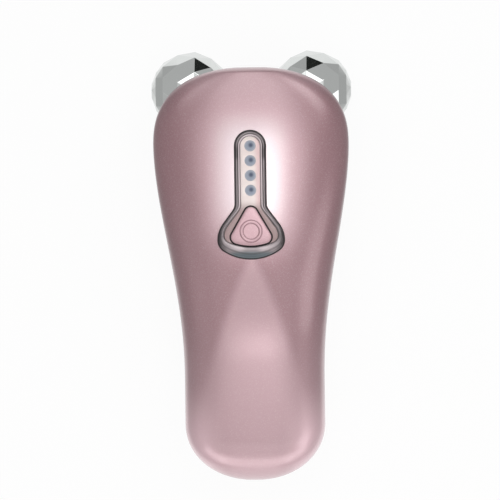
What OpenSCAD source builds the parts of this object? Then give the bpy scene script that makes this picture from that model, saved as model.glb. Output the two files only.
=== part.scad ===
// Facial toning device with two faceted rollers behind a pearl shell.
// It lies on its back, on the rollers and on the heel of the handle:
// +Z is up through the button, +Y points to the head and +X to the right. Millimetres.

/* [Body] */
// Length of the two shells, from the head's edge to the tail
body_length = 129; // [122:0.5:136]
// Width of the head where it is widest
head_width = 61; // [58:0.5:64]
// Distance from the head's edge to its widest place
head_length = 24.2; // [22:0.2:27]
// Width of the handle at its waist
handle_width = 43.7; // [42:0.1:47]
// Length of the rounded tail, seen from above
tail_length = 18; // [15:0.5:21]
// Distance from the tail to the waist
waist_distance = 32; // [28:0.5:38]
// Height of the head's crown over the seam
head_rise = 12; // [11.5:0.1:14]
// Height of the handle's crown over the table
handle_crown = 34; // [33:0.1:36]
// Height of the handle's seam over the table
handle_seam = 18; // [16:0.1:20]
// Height of the keel over the table, under the head
head_keel = 6; // [4:0.1:8]
// Radius of the crown's curve along the head
crown_radius = 180; // [160:1:240]
// Thickness of the shells
wall = 2; // [1.6:0.1:2.3]
// Gap along the seam between the shells
seam_gap = 0.15; // [0.1:0.01:0.3]

/* [Rollers] */
// Diameter of a roller over its facets
roller_diameter = 25; // [23:0.1:26]
// Distance between the centres of the two rollers
roller_pitch = 38.1; // [37:0.1:41]
// Distance from the head's edge back to the rollers' axis
roller_setback = 7; // [5.5:0.1:9]
// Free space over the rollers, under the head
hood_clearance = 1.6; // [1:0.1:3]
// Free space between the rollers and the nose of the rear shell
nose_clearance = 2.3; // [1.5:0.1:4]
// Facets round a roller
facet_count = 12; // [8:2:16]
// Diameter of the fixed axles
axle_diameter = 4; // [3:0.1:4.4]
// Running clearance of the bushes on the axles, on the radius
running_clearance = 0.05; // [0.03:0.01:0.08]
// Outer diameter of the bushes
bush_diameter = 6; // [5.6:0.1:6.8]
// Width of the insulating bracket between the rollers
bracket_width = 11; // [10:0.1:11.8]

/* [Control panel] */
// Distance from the head's edge to the top of the panel
panel_setback = 19.8; // [18:0.1:22]
// Length of the keyhole panel
panel_length = 40.2; // [38:0.1:43]
// Width of the panel's narrow stem
stem_width = 9.9; // [9.4:0.1:11]
// Width of the panel round the button
flare_width = 20.9; // [20:0.1:23]
// Width of the bezel's band
bezel_band = 1.9; // [1.6:0.05:2.1]
// Height of the bezel over the shell
bezel_proud = 0.45; // [0.3:0.05:0.8]
// Diameter of the indicator windows
window_diameter = 3.5; // [3:0.1:3.7]
// Distance between neighbouring windows
window_pitch = 4.6; // [4.4:0.05:4.8]
// Number of windows
window_count = 4; // [4:1:4]
// Width of the triangular button
button_width = 12.6; // [11.5:0.1:13]
// Length of the triangular button
button_length = 12.1; // [11.5:0.1:12.6]
// Travel of the button
button_travel = 0.5; // [0.3:0.05:0.8]
// Gap round the button
button_gap = 0.45; // [0.3:0.05:0.55]

/* [Inner parts] */
// Thickness of the circuit boards
board_thickness = 1.2; // [0.8:0.1:1.6]
// Width of the main board
board_width = 34; // [32:0.5:35]
// Length of the main board
board_length = 51.5; // [50:0.5:54]
// Length of the battery
battery_length = 44; // [38:0.5:46]
// Width of the battery
battery_width = 28; // [24:0.5:30]
// Thickness of the battery
battery_thickness = 8; // [6:0.1:9]
// Diameter of the screws' shanks
screw_diameter = 2; // [1.8:0.1:2.2]
// Diameter of the insulated wires
wire_diameter = 1.2; // [0.9:0.1:1.5]
// Width of the charging socket's metal shell
socket_width = 7.5; // [7:0.1:8]
// Height of the charging socket's metal shell
socket_height = 2.65; // [2.5:0.05:3]

/* [Hidden] */

pearl = "#c8a4aa";
chrome = "#d9dcdf";
smoke = "#8d8284";
steel = "#b6b9bd";
brass = "#c9a55c";
dark_plastic = "#2d2d31";
white_plastic = "#ecebe8";
board_green = "#1f6b45";

// Small play between pieces that are assembled and stay still
fit_gap = 0.15;
$fn = 48;

// --- Faceted roller: rings of vertices from the inner end to the outer one
facet_step = 25;      // degrees of latitude between the main rings
facet_first = -57;    // latitude of the innermost main ring
main_rings = 5;
shoulder_latitude = 60;
cap_latitude = 78;    // the six-sided flats round both ends
facet_phase = 2;      // degrees from +Y toward +Z to a vertex of the first ring
roller_radius = roller_diameter / 2;
widest_latitude = facet_first + 2 * facet_step;
roller_reach = roller_radius * cos(widest_latitude) * cos(facet_phase);

// --- Frame of the body
overhang = roller_reach - roller_setback;
head_y = (body_length - overhang) / 2;
tail_y = head_y - body_length;
roller_x = roller_pitch / 2;
roller_y = head_y - roller_setback;
roller_z = roller_reach;
nose_y = roller_y - roller_radius - nose_clearance;
head_seam = roller_z + roller_radius + hood_clearance;
head_crown = head_seam + head_rise;
crown_y = head_y - 40;

// --- Shape of the shells
head_roundness = 2.4;
tail_roundness = 2.1;
roll_roundness = 2.2;
front_fullness = 2.5;
rear_fullness = 2.3;
taper_skew = 0.87;
taper_length = body_length - head_length - waist_distance;
hood_roll = 1.8;       // length over which the head's edge rolls down
lining_roll = 0.5;     // the same inside, at the least
tail_roll = 14;        // the same at the tail
nose_roll = 15;        // the same at the nose of the rear shell
neck_y = nose_y - 2;   // the seam and the crown leave the head here
neck_length = 73;
crown_blend_y = head_y - panel_setback - panel_length;
crown_blend_length = 32;
heel_y = tail_y + 19;  // where the handle touches the table
keel_length = 73;
section_steps = 20;
tail_steps = 7;
middle_steps = 14;
head_steps = 9;
nose_steps = 7;
crown_sides = 240;
first_angle = 6;       // the round ends start this many degrees in

// --- Panel
panel_top_y = head_y - panel_setback;
panel_low_y = panel_top_y - panel_length;
flare_normal = 36.4;   // direction square to the flare's sides
corner_steps = 10;
shoulder_steps = 6;
bow_steps = 8;
panel_fit = 0.08;
stem_radius = stem_width / 2;
flare_radius = 4;
flare_shoulder = 8.6;  // the flare's sides curve in with this radius
flare_y = panel_low_y + 6;
bezel_edge = 0.3;      // the bezel's raised band stands this far inside its outline
plate_corner = 2.3;
plate_shoulder = 4.4;
pocket_depth = 1.2;    // the bezel seats this far below the crown
ledge = 0.9;           // width of the seat under the bezel
lip = 0.6;             // the bezel's inner lip under the plate
lip_top = -0.6;
plate_proud = 0.05;
window_top_y = panel_top_y - 4.95;
window_proud = 0.15;
window_flange = 0.3;
button_low_y = panel_low_y + 4.25;
button_round = 2;
button_corner_x = button_width / 2 - button_round;
button_corner_y = button_low_y + 2.7;
plate_corner_y = button_corner_y + 0.5;
button_centre_y = button_low_y + 4.5;
button_floor = -1.5;
button_stem_radius = 2;
button_proud = 0.35;
button_flange = 0.8;
ring_radius = 3.45;
ring_width = 1;
ring_proud = 0.2;

// --- Boards and switch
board_bottom = head_seam + fit_gap;
board_top = board_bottom + board_thickness;
board_front = nose_y - 0.4;
board_rear = board_front - board_length;
board_screw_x = board_width / 2 - 4.5;
board_screw_y = [board_rear + 4, board_front - 8.5];
board_screw_length = 5;
board_boss_radius = 2.4;
block_half = stem_radius - ledge - 0.65;
block_end = 2.35;      // from the last window's centre to the block's end
led_size = 2;
led_height = 1;
switch_size = 6;
switch_height = 5;
plunger_radius = 1.7;
plunger_out = 1.2;
plunger_in = 1.2;
switch_top = board_top + switch_height;
plunger_top = switch_top + plunger_out;
chip_size = 7;
chip_height = 1;
chip_place = [3.5, board_front - 20];
coil_radius = 4;
coil_height = 5;
coil_place = [-6, board_rear + 8.5];

// --- Screws
screw_radius = screw_diameter / 2;
screw_head_radius = screw_radius * 1.9;
screw_head_height = screw_radius * 1.4;
head_pocket_radius = screw_head_radius + fit_gap;
boss_radius = 3;
boss_bite = 0.6 * wall;
case_screw_x = [8.5, 12];
case_screw_y = [tail_y + 15.25, crown_y - 7.8];
case_seat = 5;         // from the seam down to a case screw's head
case_bite = 7;         // from the seam up to its tip
plug_length = 2;
plate_screw_y = nose_y + 2.4;
plate_screw_x = half_width(plate_screw_y, wall) - 4.6;
plate_screw_length = 4;
plate_boss_radius = 2.3;
plate_recess = 1;

// --- Roller bracket and axles
plate_thickness = 1.6;
plate_gap = 0.3;
plate_steps = 12;
plate_top = head_seam + plate_thickness;
plate_rear_y = nose_y + 0.2;
bracket_radius = 5.6;
post_rear_y = roller_y - 8.3;
post_front_y = head_y - wall - 1.7;
flange_thickness = 2;
flange_top = plate_top + flange_thickness;
flange_half = 13;
flange_front_y = roller_y + 1.2;
bracket_screw = [10, roller_y - 3.3];
bracket_screw_tip = head_seam + 0.4;
axle_radius = axle_diameter / 2;
axle_inner_x = 1;
spacer_radius = axle_radius + 1.2;
bush_radius = bush_diameter / 2;
bush_flange_radius = bush_radius + 0.75;
bush_flange_thickness = 0.8;
bush_length = 5;
bush_face = roller_radius - 0.9;     // axial place of the inner bush's face
outer_face = roller_radius - 5.9;    // axial place of the outer bush's face
end_play = 0.1;
washer_thickness = 0.5;
cap_thickness = 2;
axle_screw_length = 5;
strip_x = 3;
strip_thickness = 0.4;
strip_width = 3;
tab_width = 2.8;
tab_rear_y = roller_y - 5.5;
lead_x = 7;

// --- Battery and socket
battery_front_y = case_screw_y[1] - boss_radius - 5;
battery_rear_y = battery_front_y - battery_length;
rib_thickness = 1.6;
rib_top = 9;
rib_half = 9;
rib_inset = 8;
rib_y = [battery_rear_y + rib_inset, battery_front_y - rib_inset];
pad_thickness = 0.8;
pad_width = 5;
battery_lead_x = 3;
battery_low = rib_top + pad_thickness;
socket_z = handle_seam - 3.3;
socket_y = tail_y + 0.9;
socket_length = 5.5;
socket_skin = 0.35;
socket_low = socket_z - socket_height / 2;
socket_board_thickness = 1;
socket_board_low = socket_low - socket_board_thickness;
socket_board_rear = tail_y + 3.6;
socket_board_front = socket_board_rear + 9;
socket_board_half = 5.5;
socket_rib_y = [socket_board_rear + 2.5, socket_board_rear + 6.8];
socket_rib_half = 4.5;
socket_lead_x = 2.2;
tongue_thickness = 0.6;
wire_radius = wire_diameter / 2;
wire_sides = 8;

// ---------------------------------------------------------------- form

function clamp01(u) = min(1, max(0, u));
function ease(u) = (1 - cos(180 * clamp01(u))) / 2;
function mix(a, b, u) = a + (b - a) * u;
// A round end: u is 1 at the very end and 0 where the full size is reached
function round_end(u, n) = pow(1 - pow(clamp01(u), n), 1 / n);

// Half width of the body at y; inset is 0 outside and the wall inside
function half_width(y, inset) =
    let (taper = ease(pow(clamp01((head_y - y - head_length) / taper_length), taper_skew)),
         full = mix(head_width, handle_width, taper) / 2 - inset)
    full * round_end(1 - (head_y - y - inset) / (head_length - inset), head_roundness)
         * round_end(1 - (y - tail_y - inset) / (tail_length - inset), tail_roundness);

function seam(y) = mix(head_seam, handle_seam, ease((neck_y - y) / neck_length));
// The head's crown is an arc, so that the panel's pieces can follow it exactly
function crown_arc(y) =
    head_crown - crown_radius + sqrt(pow(crown_radius, 2) - pow(y - crown_y, 2));
function crown(y) =
    mix(crown_arc(y), handle_crown, ease((crown_blend_y - y) / crown_blend_length));
function keel(y) = head_keel * ease((y - heel_y) / keel_length);
function tail_factor(y, inset) =
    round_end(1 - (y - tail_y - inset) / (tail_roll - inset), roll_roundness);

// Height of the front shell's crown over the seam, and depth of the rear shell's keel
function front_rise(y, inset) = (crown(y) - seam(y) - inset) * tail_factor(y, inset)
    * round_end(1 - (head_y - y - inset) / max(hood_roll - inset, lining_roll), 2);
function rear_drop(y, inset) = (seam(y) - keel(y) - inset) * tail_factor(y, inset)
    * round_end(1 - (nose_y - y - inset) / (nose_roll - inset), 2);

// Height of the outer surfaces over the table at x, y
function front_surface(x, y) = seam(y)
    + front_rise(y, 0) * round_end(abs(x) / half_width(y, 0), front_fullness);
function rear_surface(x, y) = seam(y)
    - rear_drop(y, 0) * round_end(abs(x) / half_width(y, 0), rear_fullness);

// One half ring of a shell at y, from +X over the middle to -X
function half_ring(y, inset, reach, fullness, side) =
    let (w = half_width(y, inset), edge = seam_gap / 2)
    [for (k = [0 : section_steps])
        let (a = 180 * k / section_steps)
        [w * sign(cos(a)) * pow(abs(cos(a)), 2 / fullness),
         y,
         seam(y) + side * (edge + (reach - edge) * pow(sin(a), 2 / fullness))]];

// Places along y between two round ends, closer together where the ends curve
function stations(low, high, low_length, high_length, low_steps, high_steps) =
    let (a = first_angle, mid_low = low + low_length, mid_high = high - high_length)
    concat(
        [for (k = [0 : low_steps])
            low + low_length * (1 - cos(mix(a, 90, k / low_steps)))],
        [for (k = [1 : middle_steps - 1]) mix(mid_low, mid_high, k / middle_steps)],
        [for (k = [high_steps : -1 : 0])
            high - high_length * (1 - cos(mix(a, 90, k / high_steps)))]);

function front_rings(inset) =
    [for (y = stations(tail_y + inset, head_y - inset, tail_length - inset,
                       head_length - inset, tail_steps, head_steps))
        half_ring(y, inset, front_rise(y, inset), front_fullness, 1)];
function rear_rings(inset) =
    [for (y = stations(tail_y + inset, nose_y - inset, tail_length - inset,
                       nose_roll - inset, tail_steps, nose_steps))
        half_ring(y, inset, rear_drop(y, inset), rear_fullness, -1)];

function turned(faces, flip) = flip ? [for (f = faces) [for (k = [len(f) - 1 : -1 : 0]) f[k]]]
    : faces;

// A hollow half shell between an outer and an inner set of half rings, open at the seam
module hollow_shell(outer, inner, flip) {
    n = len(outer);
    m = len(outer[0]);
    base = n * m;
    skin = [for (i = [0 : n - 2], j = [0 : m - 2])
        let (a = i * m + j) each [[a, a + 1, a + m + 1], [a, a + m + 1, a + m]]];
    lining = [for (f = skin) [f[2] + base, f[1] + base, f[0] + base]];
    rim = [for (i = [0 : n - 2])
        let (r = i * m, l = r + m - 1)
        each [[r, r + m, r + m + base], [r, r + m + base, r + base],
              [l + m, l, l + base], [l + m, l + base, l + m + base]]];
    last = (n - 1) * m;
    ends = [[for (j = [m - 1 : -1 : 0]) j], [for (j = [0 : m - 1]) base + j],
        [for (j = [0 : m - 1]) last + j], [for (j = [m - 1 : -1 : 0]) base + last + j],
        [m - 1, 0, base, base + m - 1],
        [last, last + m - 1, base + last + m - 1, base + last]];
    polyhedron(points = concat([for (r = outer) each r], [for (r = inner) each r]),
        faces = turned(concat(skin, lining, rim, ends), flip), convexity = 8);
}

// ------------------------------------------------------------- helpers

module both_sides() {
    children();
    mirror([1, 0, 0]) children();
}

// A box between two corners
module block(low, high) {
    translate(low) cube(high - low);
}

// A cylinder along +X, for the roller pieces
module along_x(x, length, radius) {
    translate([x, 0, 0]) rotate([0, 90, 0]) cylinder(h = length, r = radius);
}

module at_axle() {
    translate([0, roller_y, roller_z]) children();
}

// A wire along points that lie in one plane: at each point a ring of vertices stands in the
// bisector of the two stretches that meet there
module wire(points) {
    n = len(points);
    m = wire_sides;
    ways = [for (k = [0 : n - 2]) (points[k + 1] - points[k]) / norm(points[k + 1] - points[k])];
    across = cross(ways[0], ways[1]) / norm(cross(ways[0], ways[1]));
    rings = [for (k = [0 : n - 1])
        let (w = ways[max(k - 1, 0)], bisector = w + ways[min(k, n - 2)],
             up = cross(w, across))
        [for (j = [0 : m - 1])
            let (c = wire_radius * (cos(360 * j / m) * across + sin(360 * j / m) * up))
            points[k] + c - w * ((c * bisector) / (w * bisector))]];
    polyhedron(points = [for (r = rings) each r],
        faces = concat([for (k = [0 : n - 2], j = [0 : m - 1])
                let (a = k * m + j, b = k * m + (j + 1) % m)
                each [[a, a + m, b], [b, a + m, b + m]]],
            [[for (j = [0 : m - 1]) j], [for (j = [m - 1 : -1 : 0]) (n - 1) * m + j]]),
        convexity = 4);
}

// A screw with its head's seat at z = 0 and its tip down
module screw(length) {
    cylinder(h = screw_head_height, r = screw_head_radius);
    translate([0, 0, -length]) cylinder(h = length, r = screw_radius);
}

// A layer that follows the crown's arc, from low to high over the shell's surface
module crown_layer(low, high) {
    translate([-head_width / 2, crown_y, head_crown - crown_radius])
        rotate([0, 90, 0]) difference() {
            cylinder(h = head_width, r = crown_radius + high, $fn = crown_sides);
            translate([0, 0, -1])
                cylinder(h = head_width + 2, r = crown_radius + low, $fn = crown_sides);
        }
}

module on_crown(low, high) {
    intersection() {
        translate([0, 0, board_bottom]) linear_extrude(height = head_rise + 5) children();
        crown_layer(low, high);
    }
}

// Points along an arc from angle a to angle b
function arc(centre, radius, a, b, steps) = [for (k = [0 : steps])
    centre + radius * [cos(mix(a, b, k / steps)), sin(mix(a, b, k / steps))]];
function mirrored(points) = [for (k = [len(points) - 1 : -1 : 0]) [-points[k][0], points[k][1]]];
// Radius of the lower edge that meets a corner arc smoothly: the corner's centre lies at x
// and at height rise over the lowest place
function bow_of(x, rise, corner) =
    (x * x + rise * rise - corner * corner) / (2 * (rise - corner));
// The lower right part of an outline: the corner from the side's normal, then the bow
function lower_edge(x, y, corner, low, normal, grow) =
    let (bow = bow_of(x, y - low, corner), bow_y = low + bow, turn = atan2(y - bow_y, x))
    concat(arc([0, bow_y], bow + grow, -90, turn, bow_steps),
        arc([x, y], corner + grow, turn, normal, corner_steps));

// Keyhole outline: a round-topped stem that flares round the button, with a bowed lower
// edge. reach is the flare's half width at corner_y, corner and shoulder are the radii
// under and over that place, and low is the lowest place.
module keyhole(stem, reach, corner, shoulder, corner_y, low, grow) {
    n = [cos(flare_normal), sin(flare_normal)];
    turn = [reach - shoulder, corner_y];
    side = n * turn + shoulder + grow;
    neck = [stem + grow, (side - n[0] * (stem + grow)) / n[1]];
    right = concat(lower_edge(reach - corner, corner_y, corner, low, 0, grow),
        arc(turn, shoulder + grow, flare_normal / shoulder_steps, flare_normal,
            shoulder_steps - 1),
        [neck], arc([0, panel_top_y - stem_radius], stem + grow, 0, 90, corner_steps));
    polygon(concat(right, [for (p = mirrored(right)) if (p[0] < -0.001) p]));
}

module bezel_outline(grow) {
    keyhole(stem_radius, flare_width / 2, flare_radius, flare_shoulder, flare_y,
        panel_low_y, grow);
}

// The outline inside the bezel; its lower edge runs along the button's
module plate_outline(grow) {
    keyhole(stem_radius - bezel_band, flare_width / 2 - bezel_band - 0.2, plate_corner,
        plate_shoulder, plate_corner_y, button_low_y - button_gap, grow);
}

// The button's outline: a triangle with round corners and a bowed base
module button_outline(grow) {
    top = [0, button_low_y + button_length - button_round];
    normal = atan2(button_corner_x, top[1] - button_corner_y);
    right = concat(lower_edge(button_corner_x, button_corner_y, button_round,
            button_low_y, normal, grow),
        arc(top, button_round + grow, normal, 90, corner_steps));
    polygon(concat(right, [for (p = mirrored(right)) if (p[0] < -0.001) p]));
}

function window_y(k) = window_top_y - (k - 1) * window_pitch;

// ------------------------------------------------------- shells

// A screw boss that hangs from the crown down to low
module crown_boss(x, y, low, radius) {
    translate([x, y, low]) cylinder(h = front_surface(x, y) - boss_bite - low, r = radius);
}

module pilot(x, y, low, depth) {
    translate([x, y, low - 1]) cylinder(h = depth + 1, r = screw_radius);
}

module front_shell() color(pearl) difference() {
    union() {
        hollow_shell(front_rings(0), front_rings(wall), false);
        both_sides() {
            for (k = [0, 1])
                crown_boss(case_screw_x[k], case_screw_y[k],
                    seam(case_screw_y[k]) + seam_gap / 2, boss_radius);
            for (y = board_screw_y)
                crown_boss(board_screw_x, y, board_top, board_boss_radius);
            crown_boss(plate_screw_x, plate_screw_y, plate_top, plate_boss_radius);
        }
    }
    // The seat of the bezel and the opening under it
    on_crown(-pocket_depth, 4) bezel_outline(panel_fit);
    translate([0, 0, board_top]) linear_extrude(height = head_rise) bezel_outline(-ledge);
    both_sides() {
        for (k = [0, 1])
            pilot(case_screw_x[k], case_screw_y[k], seam(case_screw_y[k]), case_bite + 0.5);
        for (y = board_screw_y)
            pilot(board_screw_x, y, board_top, board_screw_length);
        pilot(plate_screw_x, plate_screw_y, plate_top, plate_screw_length);
    }
}

module rib(y, top, half) {
    block([-half, y - rib_thickness / 2, rear_surface(0, y) + boss_bite],
        [half, y + rib_thickness / 2, top]);
}

module rear_shell() color(pearl) difference() {
    union() {
        hollow_shell(rear_rings(0), rear_rings(wall), true);
        both_sides() for (k = [0, 1])
            let (x = case_screw_x[k], y = case_screw_y[k],
                 low = rear_surface(x, y) + boss_bite)
            translate([x, y, low])
                cylinder(h = seam(y) - seam_gap / 2 - low, r = boss_radius);
        for (y = rib_y) rib(y, rib_top, rib_half);
        for (y = socket_rib_y) rib(y, socket_board_low, socket_rib_half);
    }
    both_sides() for (k = [0, 1]) translate([case_screw_x[k], case_screw_y[k], 0]) {
        translate([0, 0, -1])
            cylinder(h = seam(case_screw_y[k]) - case_seat + 1, r = head_pocket_radius);
        cylinder(h = seam(case_screw_y[k]) + 1, r = screw_radius + fit_gap);
    }
    block([-socket_width / 2 - fit_gap, tail_y - 1, socket_low - fit_gap],
        [socket_width / 2 + fit_gap, tail_y + 2 * wall, socket_low + socket_height + fit_gap]);
}

// The flat cover under the head, inside the front shell's rim
module head_plate() color(pearl) difference() {
    front = head_y - wall - plate_gap;
    side = [for (k = [0 : plate_steps])
        let (y = mix(plate_rear_y, front, sin(90 * k / plate_steps)))
        [half_width(y, wall + plate_gap), y]];
    translate([0, 0, head_seam]) linear_extrude(height = plate_thickness)
        polygon(concat(side, [for (k = [plate_steps - 1 : -1 : 0]) [-side[k][0], side[k][1]]]));
    block([-bracket_width / 2 - fit_gap, post_rear_y - fit_gap, head_seam - 1],
        [bracket_width / 2 + fit_gap, post_front_y + fit_gap, plate_top + 1]);
    both_sides() {
        translate([plate_screw_x, plate_screw_y, head_seam - 1]) {
            cylinder(h = plate_thickness + 2, r = screw_radius + fit_gap);
            cylinder(h = 1 + plate_recess, r = head_pocket_radius);
        }
        translate([bracket_screw[0], bracket_screw[1], bracket_screw_tip])
            cylinder(h = plate_thickness, r = screw_radius);
    }
}

// ------------------------------------------------------- rollers

// The insulating bracket: a tongue between the rollers, hung from a flange
module roller_bracket() color(dark_plastic) difference() {
    union() {
        translate([-bracket_width / 2, 0, 0]) rotate([90, 0, 90])
            linear_extrude(height = bracket_width) {
                hull() {
                    translate([roller_y, roller_z]) circle(r = bracket_radius);
                    translate([post_rear_y, head_seam])
                        square([post_front_y - post_rear_y, plate_thickness]);
                }
                translate([post_rear_y, plate_top])
                    square([post_front_y - post_rear_y, flange_thickness]);
            }
        block([-flange_half, post_rear_y, plate_top], [flange_half, flange_front_y, flange_top]);
    }
    both_sides() {
        at_axle() along_x(axle_inner_x, bracket_width, axle_radius);
        block([strip_x - strip_thickness / 2 - fit_gap, roller_y - strip_width / 2 - fit_gap,
                roller_z],
            [strip_x + strip_thickness / 2 + fit_gap, roller_y + strip_width / 2 + fit_gap,
                flange_top + 1]);
        translate([bracket_screw[0], bracket_screw[1], plate_top - 1])
            cylinder(h = flange_thickness + 2, r = screw_radius + fit_gap);
    }
}

// The ball's vertices: a flat ring at each end, half as many, and main rings between
function latitudes() = concat([for (k = [0 : main_rings - 1]) facet_first + k * facet_step],
    [shoulder_latitude]);
function ring_points(latitude, count, first) = [for (i = [0 : count - 1])
    let (a = first + 360 * i / count)
    roller_radius * [sin(latitude), cos(latitude) * cos(a), cos(latitude) * sin(a)]];
// First vertex of main ring k; each ring is turned by half a facet from the last
function ring_phase(k) = facet_phase + k * 180 / facet_count;

module faceted_ball() {
    n = facet_count;
    rings = latitudes();
    r = len(rings);
    cap = n / 2;
    inner = r * n;
    outer = inner + cap;
    main = [for (k = [0 : r - 1]) each ring_points(rings[k], n, ring_phase(k))];
    bands = [for (k = [0 : r - 2], i = [0 : n - 1])
        let (a = k * n + i, b = k * n + (i + 1) % n)
        each [[a, a + n, b], [b, a + n, b + n]]];
    inner_cap = [for (j = [0 : cap - 1])
        let (a = 2 * j, h = inner + j, g = inner + (j + 1) % cap)
        each [[h, (a + n - 1) % n, a], [h, a, a + 1], [h, a + 1, g]]];
    outer_cap = [for (j = [0 : cap - 1])
        let (a = 2 * j, o = (r - 1) * n, h = outer + j, g = outer + (j + 1) % cap)
        each [[o + (a + n - 1) % n, h, o + a], [o + a, h, o + a + 1], [o + a + 1, h, g]]];
    polyhedron(points = concat(main, ring_points(-cap_latitude, cap, ring_phase(0)),
            ring_points(cap_latitude, cap, ring_phase(r - 1))),
        faces = concat(bands, inner_cap, outer_cap,
            [[for (j = [0 : cap - 1]) inner + j], [for (j = [cap - 1 : -1 : 0]) outer + j]]),
        convexity = 2);
}

// Places a piece drawn round the right ball's centre, on the right or on the left
module at_roller(side) {
    mirror([side < 0 ? 1 : 0, 0, 0]) translate([roller_x, roller_y, roller_z]) children();
}

module roller(side) color(chrome) at_roller(side) difference() {
    faceted_ball();
    along_x(-roller_diameter, 2 * roller_diameter, bush_radius);
    along_x(-roller_diameter, roller_diameter - bush_face + bush_flange_thickness,
        bush_flange_radius);
    along_x(outer_face - bush_flange_thickness, roller_diameter, bush_flange_radius);
}
module roller_left() { roller(-1); }
module roller_right() { roller(1); }

// The two flanged bushes that are pressed into one ball
module bushes(side) color(brass) at_roller(side) difference() {
    union() {
        along_x(-bush_face, bush_length, bush_radius);
        along_x(-bush_face, bush_flange_thickness, bush_flange_radius);
        along_x(outer_face - bush_length, bush_length, bush_radius);
        along_x(outer_face - bush_flange_thickness, bush_flange_thickness,
            bush_flange_radius);
    }
    along_x(-roller_diameter, 2 * roller_diameter, axle_radius + running_clearance);
}
module bushes_left() { bushes(-1); }
module bushes_right() { bushes(1); }

// The end cap carries the ball's last facets
module roller_cap(side) color(chrome) at_roller(side) intersection() {
    faceted_ball();
    along_x(roller_radius * sin(cap_latitude) - cap_thickness, roller_radius,
        bush_flange_radius - 0.03);
}
module roller_cap_left() { roller_cap(-1); }
module roller_cap_right() { roller_cap(1); }

module axle(side) color(steel) at_roller(side) difference() {
    along_x(axle_inner_x - roller_x, roller_x - axle_inner_x + outer_face + end_play,
        axle_radius);
    along_x(outer_face + end_play - axle_screw_length, axle_screw_length + 1, screw_radius);
}
module axle_left() { axle(-1); }
module axle_right() { axle(1); }

// Rings that keep the balls off the bracket
module axle_spacers() color(white_plastic) both_sides() at_axle() difference() {
    along_x(bracket_width / 2, roller_x - bush_face - end_play - bracket_width / 2,
        spacer_radius);
    along_x(0, roller_x, axle_radius);
}

module axle_washers() color(steel) both_sides() at_roller(1) difference() {
    along_x(outer_face + end_play, washer_thickness, spacer_radius);
    along_x(0, roller_x, screw_radius);
}

module axle_screws() color(steel) both_sides() at_roller(1)
    translate([outer_face + end_play + washer_thickness, 0, 0]) rotate([0, 90, 0])
        screw(axle_screw_length);

// The strip that brings the current down to one axle
module contact(side) color(brass) mirror([side < 0 ? 1 : 0, 0, 0]) {
    block([strip_x - strip_thickness / 2, roller_y - strip_width / 2,
            roller_z + axle_radius],
        [strip_x + strip_thickness / 2, roller_y + strip_width / 2,
            flange_top + strip_thickness]);
    block([strip_x - tab_width / 2, tab_rear_y, flange_top],
        [strip_x + tab_width / 2, roller_y + strip_width / 2, flange_top + strip_thickness]);
}
module contact_left() { contact(-1); }
module contact_right() { contact(1); }

module roller_lead(side) color(side < 0 ? "#b3312c" : "#2b2b2b")
    mirror([side < 0 ? 1 : 0, 0, 0]) {
        tab_z = flange_top + strip_thickness + wire_radius;
        board_z = board_top + wire_radius;
        wire([[strip_x, tab_rear_y + 2.5, tab_z], [strip_x, post_rear_y - 1, tab_z],
            [lead_x, board_front - 3, board_z], [lead_x, board_front - 6.5, board_z]]);
    }
module roller_lead_left() { roller_lead(-1); }
module roller_lead_right() { roller_lead(1); }

// ------------------------------------------------------- panel

module panel_bezel() color(smoke) difference() {
    on_crown(-pocket_depth, bezel_proud) bezel_outline(0);
    // A step round the outside, the seat of the plate, the opening inside the lip and the
    // room for the button's flange under the upper band
    on_crown(bezel_proud / 2, 4) difference() {
        bezel_outline(2);
        bezel_outline(-bezel_edge);
    }
    on_crown(lip_top, 4) plate_outline(0);
    on_crown(-4, lip_top + 0.1) plate_outline(-lip);
    on_crown(-4, lip_top) button_outline(button_flange + button_gap);
}

module panel_plate() color("#e5d3ce") on_crown(lip_top, plate_proud) difference() {
    plate_outline(-panel_fit);
    for (k = [1 : window_count])
        translate([0, window_y(k)]) circle(d = window_diameter);
    button_outline(button_gap);
    translate([-button_corner_x, panel_low_y])
        square([2 * button_corner_x, button_corner_y - panel_low_y]);
}

module led_window(k) color("#a9b4c0") {
    on_crown(lip_top - window_flange, window_proud)
        translate([0, window_y(k)]) circle(d = window_diameter - 0.06);
    on_crown(-pocket_depth, lip_top - 0.02)
        translate([0, window_y(k)]) circle(d = window_diameter + 2 * window_flange);
}
module led_window_1() { led_window(1); }
module led_window_2() { led_window(2); }
module led_window_3() { led_window(3); }
module led_window_4() { led_window(4); }

module indicator_led(k) color("#f4e9a8")
    translate([-led_size / 2, window_y(k) - led_size / 2, board_top])
        cube([led_size, led_size, led_height]);
module indicator_led_1() { indicator_led(1); }
module indicator_led_2() { indicator_led(2); }
module indicator_led_3() { indicator_led(3); }
module indicator_led_4() { indicator_led(4); }

// One light well for each window, so that they don't light each other
module light_block() color(white_plastic) intersection() {
    translate([0, 0, board_top]) linear_extrude(height = head_rise) difference() {
        translate([-block_half, window_y(window_count) - block_end])
            square([2 * block_half, (window_count - 1) * window_pitch + 2 * block_end]);
        for (k = [1 : window_count])
            translate([0, window_y(k)]) circle(d = window_diameter - 0.2);
    }
    crown_layer(-3 * head_rise, -pocket_depth - 0.05);
}

module button_cap() color(pearl) {
    on_crown(button_floor, button_proud) button_outline(0);
    on_crown(button_floor, lip_top - 0.1) button_outline(button_flange);
    on_crown(0, button_proud + ring_proud) translate([0, button_centre_y]) difference() {
        circle(r = ring_radius);
        circle(r = ring_radius - ring_width);
    }
    translate([0, button_centre_y, plunger_top])
        cylinder(h = crown_arc(button_centre_y) - 1 - plunger_top, r = button_stem_radius);
}

module switch_plunger() color(dark_plastic)
    translate([0, button_centre_y, switch_top - plunger_in])
        cylinder(h = plunger_in + plunger_out, r = plunger_radius);

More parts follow.
